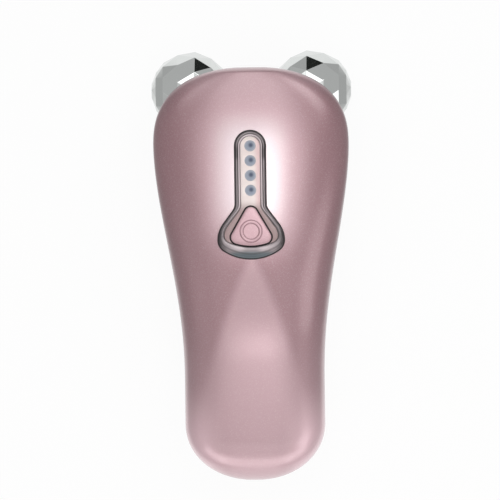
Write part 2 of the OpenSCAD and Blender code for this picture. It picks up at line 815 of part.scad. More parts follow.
module tact_switch() color(dark_plastic) translate([0, button_centre_y, board_top])
    difference() {
        translate([-switch_size / 2, -switch_size / 2, 0])
            cube([switch_size, switch_size, switch_height]);
        translate([0, 0, switch_height - plunger_in - button_travel - 0.2])
            cylinder(h = switch_height, r = plunger_radius + 0.15);
    }

// ------------------------------------------------------- boards, battery and socket

module main_board() color(board_green) difference() {
    block([-board_width / 2, board_rear, board_bottom],
        [board_width / 2, board_front, board_top]);
    both_sides() {
        translate([case_screw_x[1], case_screw_y[1], board_bottom - 1])
            cylinder(h = board_thickness + 2, r = boss_radius + 2 * fit_gap);
        for (y = board_screw_y) translate([board_screw_x, y, board_bottom - 1])
            cylinder(h = board_thickness + 2, r = screw_radius + fit_gap);
    }
}

module controller_chip() color(dark_plastic)
    translate([chip_place[0], chip_place[1], board_bottom - chip_height])
        cube([chip_size, chip_size, chip_height]);

// A drum-core coil under the board
module boost_coil() color("#8a5a33")
    translate([coil_place[0], coil_place[1], board_bottom - coil_height]) {
        cylinder(h = coil_height, r = coil_radius - 0.8);
        for (z = [0, coil_height - 1]) translate([0, 0, z]) cylinder(h = 1, r = coil_radius);
    }

module battery() color("#5b8fb5")
    translate([0, battery_front_y, battery_low]) rotate([90, 0, 0])
        linear_extrude(height = battery_length) hull() for (side = [-1, 1])
            translate([side * (battery_width - battery_thickness) / 2, battery_thickness / 2])
                circle(d = battery_thickness);

module battery_pads() color("#3a3a3a") for (y = rib_y)
    block([-rib_half, y - pad_width / 2, rib_top], [rib_half, y + pad_width / 2, battery_low]);

module battery_leads() for (side = [-1, 1]) color(side < 0 ? "#2b2b2b" : "#b3312c")
    let (x = side * battery_lead_x, z = battery_low + battery_thickness / 2,
         y = battery_front_y + 3.5)
    wire([[x, battery_front_y, z], [x, y, z], [x, y, board_bottom]]);

module charge_socket() color(steel) {
    half = socket_width / 2;
    difference() {
        block([-half, socket_y, socket_low],
            [half, socket_y + socket_length, socket_low + socket_height]);
        block([-half + socket_skin, socket_y - 1, socket_low + socket_skin],
            [half - socket_skin, socket_y + socket_length - 1,
                socket_low + socket_height - socket_skin]);
    }
    block([-half / 2, socket_y + 0.8, socket_z - tongue_thickness / 2],
        [half / 2, socket_y + socket_length - 0.5, socket_z + tongue_thickness / 2]);
}

module socket_board() color(board_green)
    block([-socket_board_half, socket_board_rear, socket_board_low],
        [socket_board_half, socket_board_front, socket_low]);

module socket_leads() color("#2b2b2b") for (side = [-1, 1])
    let (x = side * socket_lead_x, low = socket_low + wire_radius,
         high = battery_low + battery_thickness + 1.5, y = board_rear + 2)
    wire([[x, socket_board_front - 2.5, low], [x, socket_board_front + 1, low],
        [x, battery_rear_y - 3, high], [x, y, high], [x, y, board_bottom]]);

// ------------------------------------------------------- screws

module bracket_screws() color(steel) both_sides()
    translate([bracket_screw[0], bracket_screw[1], flange_top])
        screw(flange_top - bracket_screw_tip - 0.1);

module plate_screws() color(steel) both_sides()
    translate([plate_screw_x, plate_screw_y, head_seam + plate_recess]) mirror([0, 0, 1])
        screw(plate_thickness - plate_recess + plate_screw_length - 0.5);

module board_screws() color(steel) both_sides() for (y = board_screw_y)
    translate([board_screw_x, y, board_bottom]) mirror([0, 0, 1])
        screw(board_thickness + board_screw_length - 0.5);

module case_screws() color(steel) both_sides() for (k = [0, 1])
    translate([case_screw_x[k], case_screw_y[k], seam(case_screw_y[k]) - case_seat])
        mirror([0, 0, 1]) screw(case_seat + case_bite);

// Plugs that close the case screws' pockets, just under the surface
module screw_plugs() color(pearl) both_sides() for (k = [0, 1])
    let (x = case_screw_x[k], y = case_screw_y[k])
    translate([x, y, rear_surface(x + head_pocket_radius, y) + 0.1])
        cylinder(h = plug_length, r = head_pocket_radius);

front_shell();
rear_shell();
head_plate();
roller_bracket();
axle_left();
axle_right();
axle_spacers();
roller_left();
roller_right();
bushes_left();
bushes_right();
axle_washers();
axle_screws();
roller_cap_left();
roller_cap_right();
contact_left();
contact_right();
roller_lead_left();
roller_lead_right();
panel_bezel();
panel_plate();
led_window_1();
led_window_2();
led_window_3();
led_window_4();
light_block();
indicator_led_1();
indicator_led_2();
indicator_led_3();
indicator_led_4();
button_cap();
switch_plunger();
tact_switch();
main_board();
controller_chip();
boost_coil();
battery();
battery_pads();
battery_leads();
charge_socket();
socket_board();
socket_leads();
bracket_screws();
plate_screws();
board_screws();
case_screws();
screw_plugs();
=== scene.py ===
"""Looks for a facial toning device: pearl shells, plated faceted rollers and a keyhole panel.

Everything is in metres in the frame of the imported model: +Z up through the button, +Y toward
the head and +X to the right. The forms repeat the rules that shape the solids.
"""

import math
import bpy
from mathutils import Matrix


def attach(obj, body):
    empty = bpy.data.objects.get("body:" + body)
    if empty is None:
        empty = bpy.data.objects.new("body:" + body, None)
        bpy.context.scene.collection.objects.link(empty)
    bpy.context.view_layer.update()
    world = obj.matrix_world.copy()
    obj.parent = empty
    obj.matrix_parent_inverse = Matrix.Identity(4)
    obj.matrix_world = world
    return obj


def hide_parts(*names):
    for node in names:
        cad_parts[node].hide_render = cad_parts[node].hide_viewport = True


bl_info = {
    "name": "Facial Toning Device",
    "version": (1, 0, 0),
    "blender": (4, 5, 0),
    "location": "View3D > Sidebar > Toning Device",
    "description": "Builds the shells, rollers, panel and inner parts with their finishes",
    "category": "Add Mesh",
}

import bmesh
import bpy
import numpy as np
from bpy.props import FloatProperty, FloatVectorProperty, IntProperty, PointerProperty
from mathutils import Euler, Matrix, Vector

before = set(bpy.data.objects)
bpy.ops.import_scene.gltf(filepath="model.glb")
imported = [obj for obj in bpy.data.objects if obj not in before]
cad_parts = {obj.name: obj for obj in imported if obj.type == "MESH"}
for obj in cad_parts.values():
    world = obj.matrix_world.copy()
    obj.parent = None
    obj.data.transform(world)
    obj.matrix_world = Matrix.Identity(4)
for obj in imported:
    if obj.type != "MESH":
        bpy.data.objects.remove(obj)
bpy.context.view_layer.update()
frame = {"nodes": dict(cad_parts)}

MM = 0.001

# ---------------------------------------------------------------- sizes, in millimetres

BODY_LENGTH, HEAD_WIDTH, HANDLE_WIDTH = 129.0, 61.0, 43.7
HEAD_LENGTH, TAIL_LENGTH, WAIST = 24.2, 18.0, 32.0
# Exponents of the superellipses: 2 is an ellipse, and higher is fuller
HEAD_FULLNESS, TAIL_FULLNESS, TAIL_ROLL_FULLNESS = 2.4, 2.1, 2.2
FRONT_FULLNESS, FLATTER_TAIL, REAR_FULLNESS = 2.5, 0.55, 2.3
FLATTER_FROM, FLATTER_LENGTH = -18.0, 38.0
TAPER_POWER = 0.87
ROLLER_RADIUS, ROLLER_X, AXLE_END = 12.5, 19.05, 7.2
FACETS, FACET_PHASE, CAP_LATITUDE = 12, 2.0, 78.0
BORE_RADIUS, SEAT_RADIUS, INNER_SEAT, OUTER_SEAT = 3.0, 3.75, 3.2, 5.8
LATITUDES = (-57.0, -32.0, -7.0, 18.0, 43.0, 60.0)
REACH = ROLLER_RADIUS * math.cos(math.radians(7)) * math.cos(math.radians(FACET_PHASE))
HEAD_Y = (BODY_LENGTH - (REACH - 7.0)) / 2
TAIL_Y = HEAD_Y - BODY_LENGTH
ROLLER_Y, ROLLER_Z = HEAD_Y - 7.0, REACH
NOSE_Y = ROLLER_Y - ROLLER_RADIUS - 2.3
HEAD_SEAM = ROLLER_Z + ROLLER_RADIUS + 1.6
HEAD_CROWN = HEAD_SEAM + 12.0
HANDLE_SEAM, HANDLE_CROWN, HEAD_KEEL = 18.0, 34.0, 6.0
CROWN_RADIUS, CROWN_Y = 180.0, HEAD_Y - 40.0
WALL, SEAM_GAP = 2.0, 0.15
HOOD_ROLL, TAIL_ROLL, NOSE_ROLL, LINING_ROLL = 1.8, 14.0, 15.0, 0.5
HEEL_Y = TAIL_Y + 19.0
SLOPE_LENGTH, CROWN_BLEND = 73.0, 32.0   # the seam's and keel's slope, the crown's step down
PANEL_TOP = HEAD_Y - 19.8
PANEL_LOW = PANEL_TOP - 40.2
STEM, FLARE, FLARE_CORNER, FLARE_SHOULDER = 4.95, 10.45, 4.0, 8.6
FLARE_NORMAL, FLARE_RISE = 36.4, 6.0
PLATE_CORNER, PLATE_SHOULDER, BAND = 2.3, 4.4, 1.9
BUTTON_LOW = PANEL_LOW + 4.25
BUTTON_LENGTH, BUTTON_ROUND, BUTTON_CORNER_X = 12.1, 2.0, 4.3
BUTTON_CORNER_Y = BUTTON_LOW + 2.7
BUTTON_GAP, BUTTON_FLANGE, BUTTON_PROUD = 0.45, 0.8, 0.35
BUTTON_STEM, STEM_LOW, FLANGE_LOW, FLANGE_TOP = 2.0, -6.2, -1.5, -0.7
RING_CENTRE_Y, RING_RADIUS, RING_WIDTH, RING_RISE = BUTTON_LOW + 4.5, 3.45, 1.0, 0.2
WINDOW_TOP, WINDOW_PITCH, WINDOW_RADIUS = PANEL_TOP - 4.95, 4.6, 1.75
SEAT_DEPTH, LIP_TOP, DIE_OFFSET = 1.2, -0.6, 0.22
GROOVE_FROM, GROOVE_FADE, LIP_FROM, LIP_FADE = 13.0, 6.0, 19.5, 2.5
BOARD_BOTTOM = HEAD_SEAM + 0.15
SCREW_RADIUS, THREAD_PITCH, AXLE_SCREW = 1.0, 0.4, 5.0
BRACKET_SCREW, PLATE_SCREW, BOARD_SCREW, CASE_SCREW = 3.1, 4.1, 5.7, 12.0
BRACKET_SCREW_X, BOARD_SCREW_X, BOARD_REAR = 10.0, 12.5, NOSE_Y - 0.4 - 51.5
CASE_SCREWS = ((8.5, TAIL_Y + 15.25), (12.0, CROWN_Y - 7.8))
POCKET_RADIUS = 2.05
CUTTER_SIDES, BEND_STEP = 64, 1.2        # sides of a round cutter, pieces of a bent plate
SOCKET_Z, MOUTH_HALF_WIDTH, MOUTH_HALF_HEIGHT = HANDLE_SEAM - 3.3, 3.9, 1.475

# ---------------------------------------------------------------- form


def ease(u):
    """From 0 to 1 along half a cosine, level at both ends."""
    return (1 - np.cos(np.pi * np.clip(u, 0, 1))) / 2


def mix(a, b, u):
    return a + (b - a) * u


def round_end(u, n):
    """A superellipse's quarter: 1 at u = 0 and 0 at u = 1."""
    return (1 - np.clip(u, 0, 1) ** n) ** (1 / n)


def half_width(y, inset):
    taper_length = BODY_LENGTH - HEAD_LENGTH - WAIST
    taper = ease(np.clip((HEAD_Y - y - HEAD_LENGTH) / taper_length, 0, 1) ** TAPER_POWER)
    full = mix(HEAD_WIDTH, HANDLE_WIDTH, taper) / 2 - inset
    return (full * round_end(1 - (HEAD_Y - y - inset) / (HEAD_LENGTH - inset), HEAD_FULLNESS)
            * round_end(1 - (y - TAIL_Y - inset) / (TAIL_LENGTH - inset), TAIL_FULLNESS))


def seam(y):
    return mix(HEAD_SEAM, HANDLE_SEAM, ease((NOSE_Y - 2 - y) / SLOPE_LENGTH))


def crown_arc(y):
    return HEAD_CROWN - CROWN_RADIUS + np.sqrt(CROWN_RADIUS ** 2 - (y - CROWN_Y) ** 2)


def crown(y):
    return mix(crown_arc(y), HANDLE_CROWN, ease((PANEL_LOW - y) / CROWN_BLEND))


def tail_factor(y, inset):
    return round_end(1 - (y - TAIL_Y - inset) / (TAIL_ROLL - inset), TAIL_ROLL_FULLNESS)


def front_rise(y, inset):
    return ((crown(y) - seam(y) - inset) * tail_factor(y, inset)
            * round_end(1 - (HEAD_Y - y - inset) / max(HOOD_ROLL - inset, LINING_ROLL), 2))


def front_fullness(y):
    """The front shell grows a little flatter across toward the tail."""
    return FRONT_FULLNESS + FLATTER_TAIL * ease((FLATTER_FROM - y) / FLATTER_LENGTH)


def rear_drop(y, inset):
    keel = HEAD_KEEL * ease((y - HEEL_Y) / SLOPE_LENGTH)
    return ((seam(y) - keel - inset) * tail_factor(y, inset)
            * round_end(1 - (NOSE_Y - y - inset) / (NOSE_ROLL - inset), 2))


def half_ring(y, inset, reach, fullness, side, steps):
    """One half ring of a shell at y, from +X over the middle to -X."""
    a = np.linspace(0, np.pi, steps + 1)
    w, edge = half_width(y, inset), SEAM_GAP / 2
    if side > 0 and inset and y < NOSE_Y - 3:
        # The front shell's edge slopes down inwards, so no light passes between the shells
        edge = -0.8 * edge
    c, s = np.cos(a), np.maximum(np.sin(a), 0)
    return np.stack([w * np.sign(c) * np.abs(c) ** (2 / fullness), np.full_like(a, y),
                     seam(y) + side * (edge + (reach - edge) * s ** (2 / fullness))], 1)


def stations(low, high, low_length, high_length, low_steps, middle, high_steps):
    """Places along y, closer together where the two ends curve."""
    first = 6.0
    def end(length, steps):
        return length * (1 - np.cos(np.radians(np.linspace(first, 90, steps + 1))))
    return np.concatenate([low + end(low_length, low_steps),
                           np.linspace(low + low_length, high - high_length, middle + 1)[1:-1],
                           (high - end(high_length, high_steps))[::-1]])


# ---------------------------------------------------------------- meshes


def new_object(name, data):
    obj = bpy.data.objects.new(name, data)
    bpy.context.scene.collection.objects.link(obj)
    return obj


def raw_mesh(name, points, faces=()):
    mesh = bpy.data.meshes.new(name)
    mesh.from_pydata([tuple(MM * c for c in p) for p in points], [], faces)
    return mesh


def mesh_from(name, points, faces):
    """A closed mesh from points in millimetres, with its faces turned outwards."""
    mesh = raw_mesh(name, points, faces)
    bm = bmesh.new()
    bm.from_mesh(mesh)
    bmesh.ops.recalc_face_normals(bm, faces=bm.faces)
    bm.to_mesh(mesh)
    bm.free()
    return mesh


def smooth(obj, degrees=32.0):
    obj.data.shade_smooth()
    obj.data.set_sharp_from_angle(angle=math.radians(degrees))
    return obj


def settle(obj):
    """Turns an object and its modifiers into a plain mesh."""
    graph = bpy.context.evaluated_depsgraph_get()
    mesh = bpy.data.meshes.new_from_object(obj.evaluated_get(graph))
    obj.modifiers.clear()
    obj.data = mesh


def carve(obj, cutters):
    """Cuts every cutter out of an object and deletes the cutters."""
    for cutter in cutters:
        cut = obj.modifiers.new("cut", "BOOLEAN")
        cut.operation, cut.solver, cut.object = "DIFFERENCE", "EXACT", cutter
    settle(obj)
    for cutter in cutters:
        bpy.data.objects.remove(cutter)


def bevel(obj, width, degrees):
    """Softens the edges that turn by more than an angle."""
    edge = obj.modifiers.new("edge", "BEVEL")
    edge.width, edge.segments = width * MM, 2
    edge.limit_method, edge.angle_limit = "ANGLE", math.radians(degrees)
    edge.harden_normals = False
    settle(obj)


def loft(name, rings, ends="fan"):
    """Closed rings joined one to the next. ends closes the first and the last ring with one
    face each, or joins them to each other."""
    n, rows = len(rings[0]), len(rings)
    points = [p for ring in rings for p in ring]
    faces = []
    for i in range(rows if ends == "joined" else rows - 1):
        a, b = i * n, (i + 1) % rows * n
        faces += [(a + j, a + (j + 1) % n, b + (j + 1) % n, b + j) for j in range(n)]
    if ends == "fan":
        faces += [tuple(range(n))[::-1], tuple(range((rows - 1) * n, rows * n))]
    return mesh_from(name, points, faces)


def turned(profile, sides):
    """The rings of a round piece about Z, from its radii and heights."""
    return [[(a * math.cos(t), a * math.sin(t), h)
             for t in (2 * math.pi * k / sides for k in range(sides))] for a, h in profile]


def cylinder(name, base, axis, length, radius):
    """A round cutter along an axis, in millimetres."""
    turn = Vector((0, 0, 1)).rotation_difference(Vector(axis)).to_matrix()
    rings = turned(((radius, 0), (radius, length)), CUTTER_SIDES)
    return new_object(name, loft(name, [[Vector(base) + turn @ Vector(p) for p in ring]
                                        for ring in rings]))


def block(name, low, high):
    corners = [[(x, y, z) for x, y in ((low[0], low[1]), (high[0], low[1]),
                                       (high[0], high[1]), (low[0], high[1]))]
               for z in (low[2], high[2])]
    return new_object(name, loft(name, corners))


def refined(node, name, width, degrees=30.0):
    """A copy of a CAD node with merged points, flat faces and softened edges."""
    mesh = frame["nodes"][node].data.copy()
    bm = bmesh.new()
    bm.from_mesh(mesh)
    bmesh.ops.remove_doubles(bm, verts=bm.verts, dist=2e-6)
    bmesh.ops.dissolve_limit(bm, angle_limit=math.radians(0.6), verts=bm.verts,
                             edges=bm.edges)
    bm.to_mesh(mesh)
    bm.free()
    mesh.name = name
    obj = new_object(name, mesh)
    bevel(obj, width, degrees)
    return smooth(obj)


def give_finish(mesh, material):
    mesh.materials.clear()
    mesh.materials.append(material)


def place(obj, material, body, *nodes):
    """The last step for a piece: its finish, its body and the nodes that it stands for."""
    give_finish(obj.data, material)
    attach(obj, body)
    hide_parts(*nodes)


# ---------------------------------------------------------------- outlines of the panel


def arc(centre, radius, a, b, steps):
    t = np.radians(np.linspace(a, b, steps + 1))
    return np.stack([centre[0] + radius * np.cos(t), centre[1] + radius * np.sin(t)], 1)


def lower_edge(x, y, corner, low, normal, grow):
    """The bowed lower edge and the corner that meets it smoothly, on the right side."""
    rise = y - low
    bow = (x * x + rise * rise - corner * corner) / (2 * (rise - corner))
    turn = math.degrees(math.atan2(y - low - bow, x))
    return np.concatenate([arc((0, low + bow), bow + grow, -90, turn, 14)[:-1],
                           arc((x, y), corner + grow, turn, normal, 12)])


def both_halves(right):
    left = right[::-1] * (-1, 1)
    return np.concatenate([right, left[(left[:, 0] < -1e-3)]])


def straight(a, b, steps):
    """Points between two others, without the ends."""
    t = np.linspace(0, 1, steps + 1)[1:-1, None]
    return a + (b - a) * t


def keyhole(stem, reach, corner, shoulder, corner_y, low, grow):
    """The panel's outline: a bowed lower edge, a corner, a shoulder and a straight flare up to
    the stem, whose top is half round. It is worked out on the right and mirrored."""
    n = np.array([math.cos(math.radians(FLARE_NORMAL)), math.sin(math.radians(FLARE_NORMAL))])
    centre = (reach - shoulder, corner_y)
    side = n @ centre + shoulder + grow
    neck = np.array([stem + grow, (side - n[0] * (stem + grow)) / n[1]])
    edge = np.concatenate([lower_edge(reach - corner, corner_y, corner, low, 0, grow),
                           arc(centre, shoulder + grow, 0, FLARE_NORMAL, 12)[1:]])
    top = arc((0, PANEL_TOP - STEM), stem + grow, 0, 90, 14)
    # The neck is rounded a little, as moulded pieces are
    a, b = mix(neck, edge[-1], 0.16), mix(neck, top[0], 0.06)
    turn = [(1 - t) ** 2 * a + 2 * t * (1 - t) * neck + t * t * b
            for t in np.linspace(0, 1, 7)]
    return both_halves(np.concatenate([edge, straight(edge[-1], a, 6), turn,
                                       straight(b, top[0], 18), top]))


def bezel_outline(grow):
    return keyhole(STEM, FLARE, FLARE_CORNER, FLARE_SHOULDER, PANEL_LOW + FLARE_RISE,
                   PANEL_LOW, grow)


def plate_outline(grow):
    return keyhole(STEM - BAND, FLARE - BAND - 0.2, PLATE_CORNER, PLATE_SHOULDER,
                   BUTTON_CORNER_Y + 0.5, BUTTON_LOW - BUTTON_GAP, grow)


def button_outline(grow):
    top = np.array([0, BUTTON_LOW + BUTTON_LENGTH - BUTTON_ROUND])
    normal = math.degrees(math.atan2(BUTTON_CORNER_X, top[1] - BUTTON_CORNER_Y))
    edge = lower_edge(BUTTON_CORNER_X, BUTTON_CORNER_Y, BUTTON_ROUND, BUTTON_LOW, normal, grow)
    apex = arc(top, BUTTON_ROUND + grow, normal, 90, 12)
    return both_halves(np.concatenate([edge, straight(edge[-1], apex[0], 8), apex]))


def at_height(outline, h):
    """An outline that lies h over the crown's arc."""
    return np.column_stack([outline, crown_arc(outline[:, 1]) + h])


def lay_on_crown(mesh):
    """Bends a flat mesh, whose height is counted from the crown, onto the crown's arc."""
    bm = bmesh.new()
    bm.from_mesh(mesh)
    ys = [v.co.y for v in bm.verts]
    for y in np.arange(min(ys) + BEND_STEP * MM, max(ys), BEND_STEP * MM):
        bmesh.ops.bisect_plane(bm, geom=bm.verts[:] + bm.edges[:] + bm.faces[:],
                               plane_co=(0, y, 0), plane_no=(0, 1, 0))
    for v in bm.verts:
        v.co.z += MM * float(crown_arc(v.co.y / MM))
    bm.to_mesh(mesh)
    bm.free()


# ---------------------------------------------------------------- shader maths


class Value:
    """A shader socket that takes part in Python sums: each operator adds a Math node."""

    def __init__(self, tree, socket):
        self.tree, self.socket = tree, socket

    def math(self, operation, *others):
        node = self.tree.nodes.new("ShaderNodeMath")
        node.operation = operation
        for k, item in enumerate((self,) + others):
            if isinstance(item, Value):
                self.tree.links.new(item.socket, node.inputs[k])
            else:
                node.inputs[k].default_value = item
        return Value(self.tree, node.outputs[0])

    def other(self, number):
        node = self.tree.nodes.new("ShaderNodeValue")
        node.outputs[0].default_value = number
        return Value(self.tree, node.outputs[0])

    def __add__(self, b):
        return self.math("ADD", b)

    def __sub__(self, b):
        return self.math("SUBTRACT", b)

    def __mul__(self, b):
        return self.math("MULTIPLY", b)

    def __truediv__(self, b):
        return self.math("DIVIDE", b)

    def __rsub__(self, a):
        return self.other(a).math("SUBTRACT", self)

    __radd__, __rmul__ = __add__, __mul__

    def step(self, low, high):
        """0 below low and 1 above high, smooth between."""
        node = self.tree.nodes.new("ShaderNodeMapRange")
        node.interpolation_type = "SMOOTHSTEP"
        self.tree.links.new(self.socket, node.inputs["Value"])
        node.inputs["From Min"].default_value = low
        node.inputs["From Max"].default_value = high
        return Value(self.tree, node.outputs["Result"])


class Finish:
    """A material and the few calls that its node trees are written with."""

    def __init__(self, name, metallic=0.0, coat=0.0, coat_roughness=0.05, ior=1.5):
        self.material = bpy.data.materials.new(name)
        self.material.use_nodes = True
        self.tree = self.material.node_tree
        self.surface = self.tree.nodes["Principled BSDF"]
        self.set("Metallic", metallic)
        self.set("Coat Weight", coat)
        self.set("Coat Roughness", coat_roughness)
        self.set("IOR", ior)
        self.coords = self.tree.nodes.new("ShaderNodeTexCoord").outputs["Object"]

    def node(self, kind, settings=None, **sockets):
        node = self.tree.nodes.new("ShaderNode" + kind)
        for key, value in (settings or {}).items():
            setattr(node, key, value)
        for key, value in sockets.items():
            self.link(node, key.replace("_", " "), value)
        return node

    def link(self, node, key, value):
        socket = node.inputs[key]
        if isinstance(value, Value):
            self.tree.links.new(value.socket, socket)
        elif isinstance(value, bpy.types.NodeSocket):
            self.tree.links.new(value, socket)
        else:
            socket.default_value = value

    def set(self, key, value):
        self.link(self.surface, key, value)

    def value(self, socket):
        return Value(self.tree, socket)

    def axes(self):
        parts = self.node("SeparateXYZ", Vector=self.coords).outputs
        return tuple(self.value(parts[k]) for k in range(3))

    def noise(self, scale, detail=3.0, stretch=(1, 1, 1)):
        place = self.node("Mapping", Vector=self.coords, Scale=stretch).outputs[0]
        node = self.node("TexNoise", Vector=place, Scale=scale, Detail=detail, Roughness=0.55)
        return self.value(node.outputs["Fac"])

    def cells(self, scale, output="Distance"):
        node = self.node("TexVoronoi", Vector=self.coords, Scale=scale)
        return self.value(node.outputs[output])

    def blend(self, factor, a, b):
        """One colour laid over another. Each is a socket or three numbers."""
        node = self.node("Mix", {"data_type": "RGBA"})
        self.link(node, 0, factor)
        for key, colour in ((6, a), (7, b)):
            plain = not isinstance(colour, bpy.types.NodeSocket)
            self.link(node, key, tuple(colour)[:3] + (1,) if plain else colour)
        return node.outputs[2]

    def finished(self, colour, roughness, relief, strength, distance):
        """The material with its colour, its roughness and a relief as a bump."""
        self.set("Base Color", colour)
        self.set("Roughness", roughness)
        bump = self.node("Bump", Height=relief, Strength=strength, Distance=distance)
        self.set("Normal", bump.outputs[0])
        return self.material


# ---------------------------------------------------------------- finishes


FLAKE_SIZE, FLAKE_COLOUR = 5200, (1.0, 0.93, 0.92)
# Painted shade for the faces in the gap round the button
GAP_SHADE_COLOUR = (0.018, 0.010, 0.011)


def tinted(colour, *factors):
    """A colour with its channels scaled by one factor, or each by its own."""
    return tuple(min(1, c * k) for c, k in zip(colour, factors * (3 // len(factors))))


def distance(dx, dy):
    return (dx * dx + dy * dy).math("SQRT")


def pearl_finish(name, colour, painted_light_strength=1.0):
    """Rose pearl paint: mica flakes in a satin clear coat, with painted shade toward the sides
    and across the head's tip, a painted highlight over the crown and painted light round the
    tail. The unshaded middle of the handle's front widens toward the tail."""
    f = Finish(name, metallic=0.55, coat=0.75, coat_roughness=0.24)
    f.set("Coat IOR", 1.9)
    x, y, z = f.axes()
    cloud, flakes = f.noise(22, 2.0), f.cells(FLAKE_SIZE, "Color")
    wide, back, front = x.math("ABSOLUTE"), 0 - y, z.step(0.020, 0.027)
    # The half width of the unshaded middle, between the painted shade, grows from nothing below
    # the button to 17.2 mm
    down = ((0.001 - y) / 0.050).math("MAXIMUM", 0.0).math("MINIMUM", 1.0)
    middle = down.math("POWER", 0.77) * 0.0172
    handle = (1 - y.step(0.000, 0.014)) * front
    # Painted shade toward the sides, round the unshaded middle on the handle's front
    painted_shade = (handle * 0.7 * (wide - middle).step(-0.0015, 0.0030)
              + (1 - handle) * 0.7 * wide.step(0.005, 0.023)
              + 0.3 * wide.step(0.012, 0.028)) * painted_light_strength
    # The painted shade on the sides is weaker at the head's tip and toward the tail
    painted_shade = painted_shade * (1 - 0.7 * y.step(0.046, 0.062)) * (1 - 0.9 * back.step(0.012, 0.056))
    # Painted shade across the head's tip
    painted_shade = painted_shade + 0.24 * painted_light_strength * y.step(0.043, 0.054)
    # Painted light round the tail
    tail = (back.step(0.036, 0.056) * wide.step(0.008, 0.018)
            + back.step(0.054, 0.066) * 0.3) * painted_light_strength
    # Painted highlight over the head's crown
    glow = (1 - wide.step(0.003, 0.015)) * y.step(0.006, 0.022) * (1 - y.step(0.038, 0.050))
    base = f.blend(cloud.step(0.35, 0.7) * 0.35, colour, tinted(colour, 1.06, 1.10, 1.10))
    # Painted shade toward the sides and at the head's tip
    base = f.blend(painted_shade, base, tinted(colour, 0.60, 0.48, 0.50))
    # Painted light round the tail
    base = f.blend(tail, base, tinted(colour, 1.5, 1.6, 1.6))
    # A whiter painted highlight over the head's crown
    base = f.blend(glow * front * 0.55 * painted_light_strength, base, (0.74, 0.71, 0.73))
    base = f.blend(flakes.step(0.55, 1.0) * 0.10, base, FLAKE_COLOUR)
    return f.finished(base, 0.36 + 0.05 * cloud + 0.03 * flakes, flakes, 0.02, 0.00002)


def button_finish(name, colour):
    """The button's satin pearl, with painted shade in the corners of its ring."""
    f = Finish(name, metallic=0.4, coat=0.3, coat_roughness=0.3)
    x, y = f.axes()[:2]
    away = distance(x, y - RING_CENTRE_Y * MM)
    def near(radius):
        return 1 - (away - radius * MM).math("ABSOLUTE").step(0.00005, 0.00028)
    painted_ring_shade = near(RING_RADIUS) + near(RING_RADIUS - RING_WIDTH)
    cloud, flakes = f.noise(60, 2.0), f.cells(FLAKE_SIZE, "Color")
    base = f.blend(cloud.step(0.3, 0.7) * 0.3, colour, tinted(colour, 0.9))
    # Painted shade in the corners at both edges of the ring
    base = f.blend(painted_ring_shade * 0.75, base, tinted(colour, 0.42, 0.34, 0.36))
    base = f.blend(flakes.step(0.55, 1.0) * 0.10, base, FLAKE_COLOUR)
    return f.finished(base, 0.38 + 0.05 * cloud, flakes, 0.02, 0.00002)


def plated_finish(name, colour):
    """Bright plating over moulded plastic: a mirror with faint polishing marks."""
    f = Finish(name, metallic=1.0)
    haze = f.noise(60, 3.0)
    marks = f.noise(900, 2.0, stretch=(1, 0.06, 0.06))
    base = f.blend(haze.step(0.3, 0.8) * 0.5, colour, tinted(colour, 0.93))
    return f.finished(base, 0.05 + 0.04 * haze + 0.02 * marks, marks, 0.015, 0.00001)


def moulded_finish(name, colour, roughness=0.4, grain=0.25, coat=0.0):
    """Moulded plastic: a fine sparked grain and a little unevenness in its gloss."""
    f = Finish(name, coat=coat)
    cloud, fine = f.noise(45, 2.0), f.noise(2600, 2.0)
    base = f.blend(cloud.step(0.3, 0.75) * 0.6, colour, tinted(colour, 0.86))
    return f.finished(base, roughness + 0.10 * (cloud - 0.5) + 0.06 * (fine - 0.5), fine,
                      grain, 0.00004)


def turned_metal_finish(name, colour, axis=0):
    """Turned or drawn metal: fine rings along one axis and a few dull spots."""
    f = Finish(name, metallic=1.0)
    stretch = tuple(1.0 if k == axis else 0.03 for k in range(3))
    rings, spots = f.noise(3200, 2.0, stretch=stretch), f.noise(160, 3.0)
    base = f.blend(spots.step(0.45, 0.8) * 0.4, colour, tinted(colour, 0.78))
    return f.finished(base, 0.28 + 0.12 * (rings - 0.5) + 0.08 * spots, rings, 0.12, 0.00003)


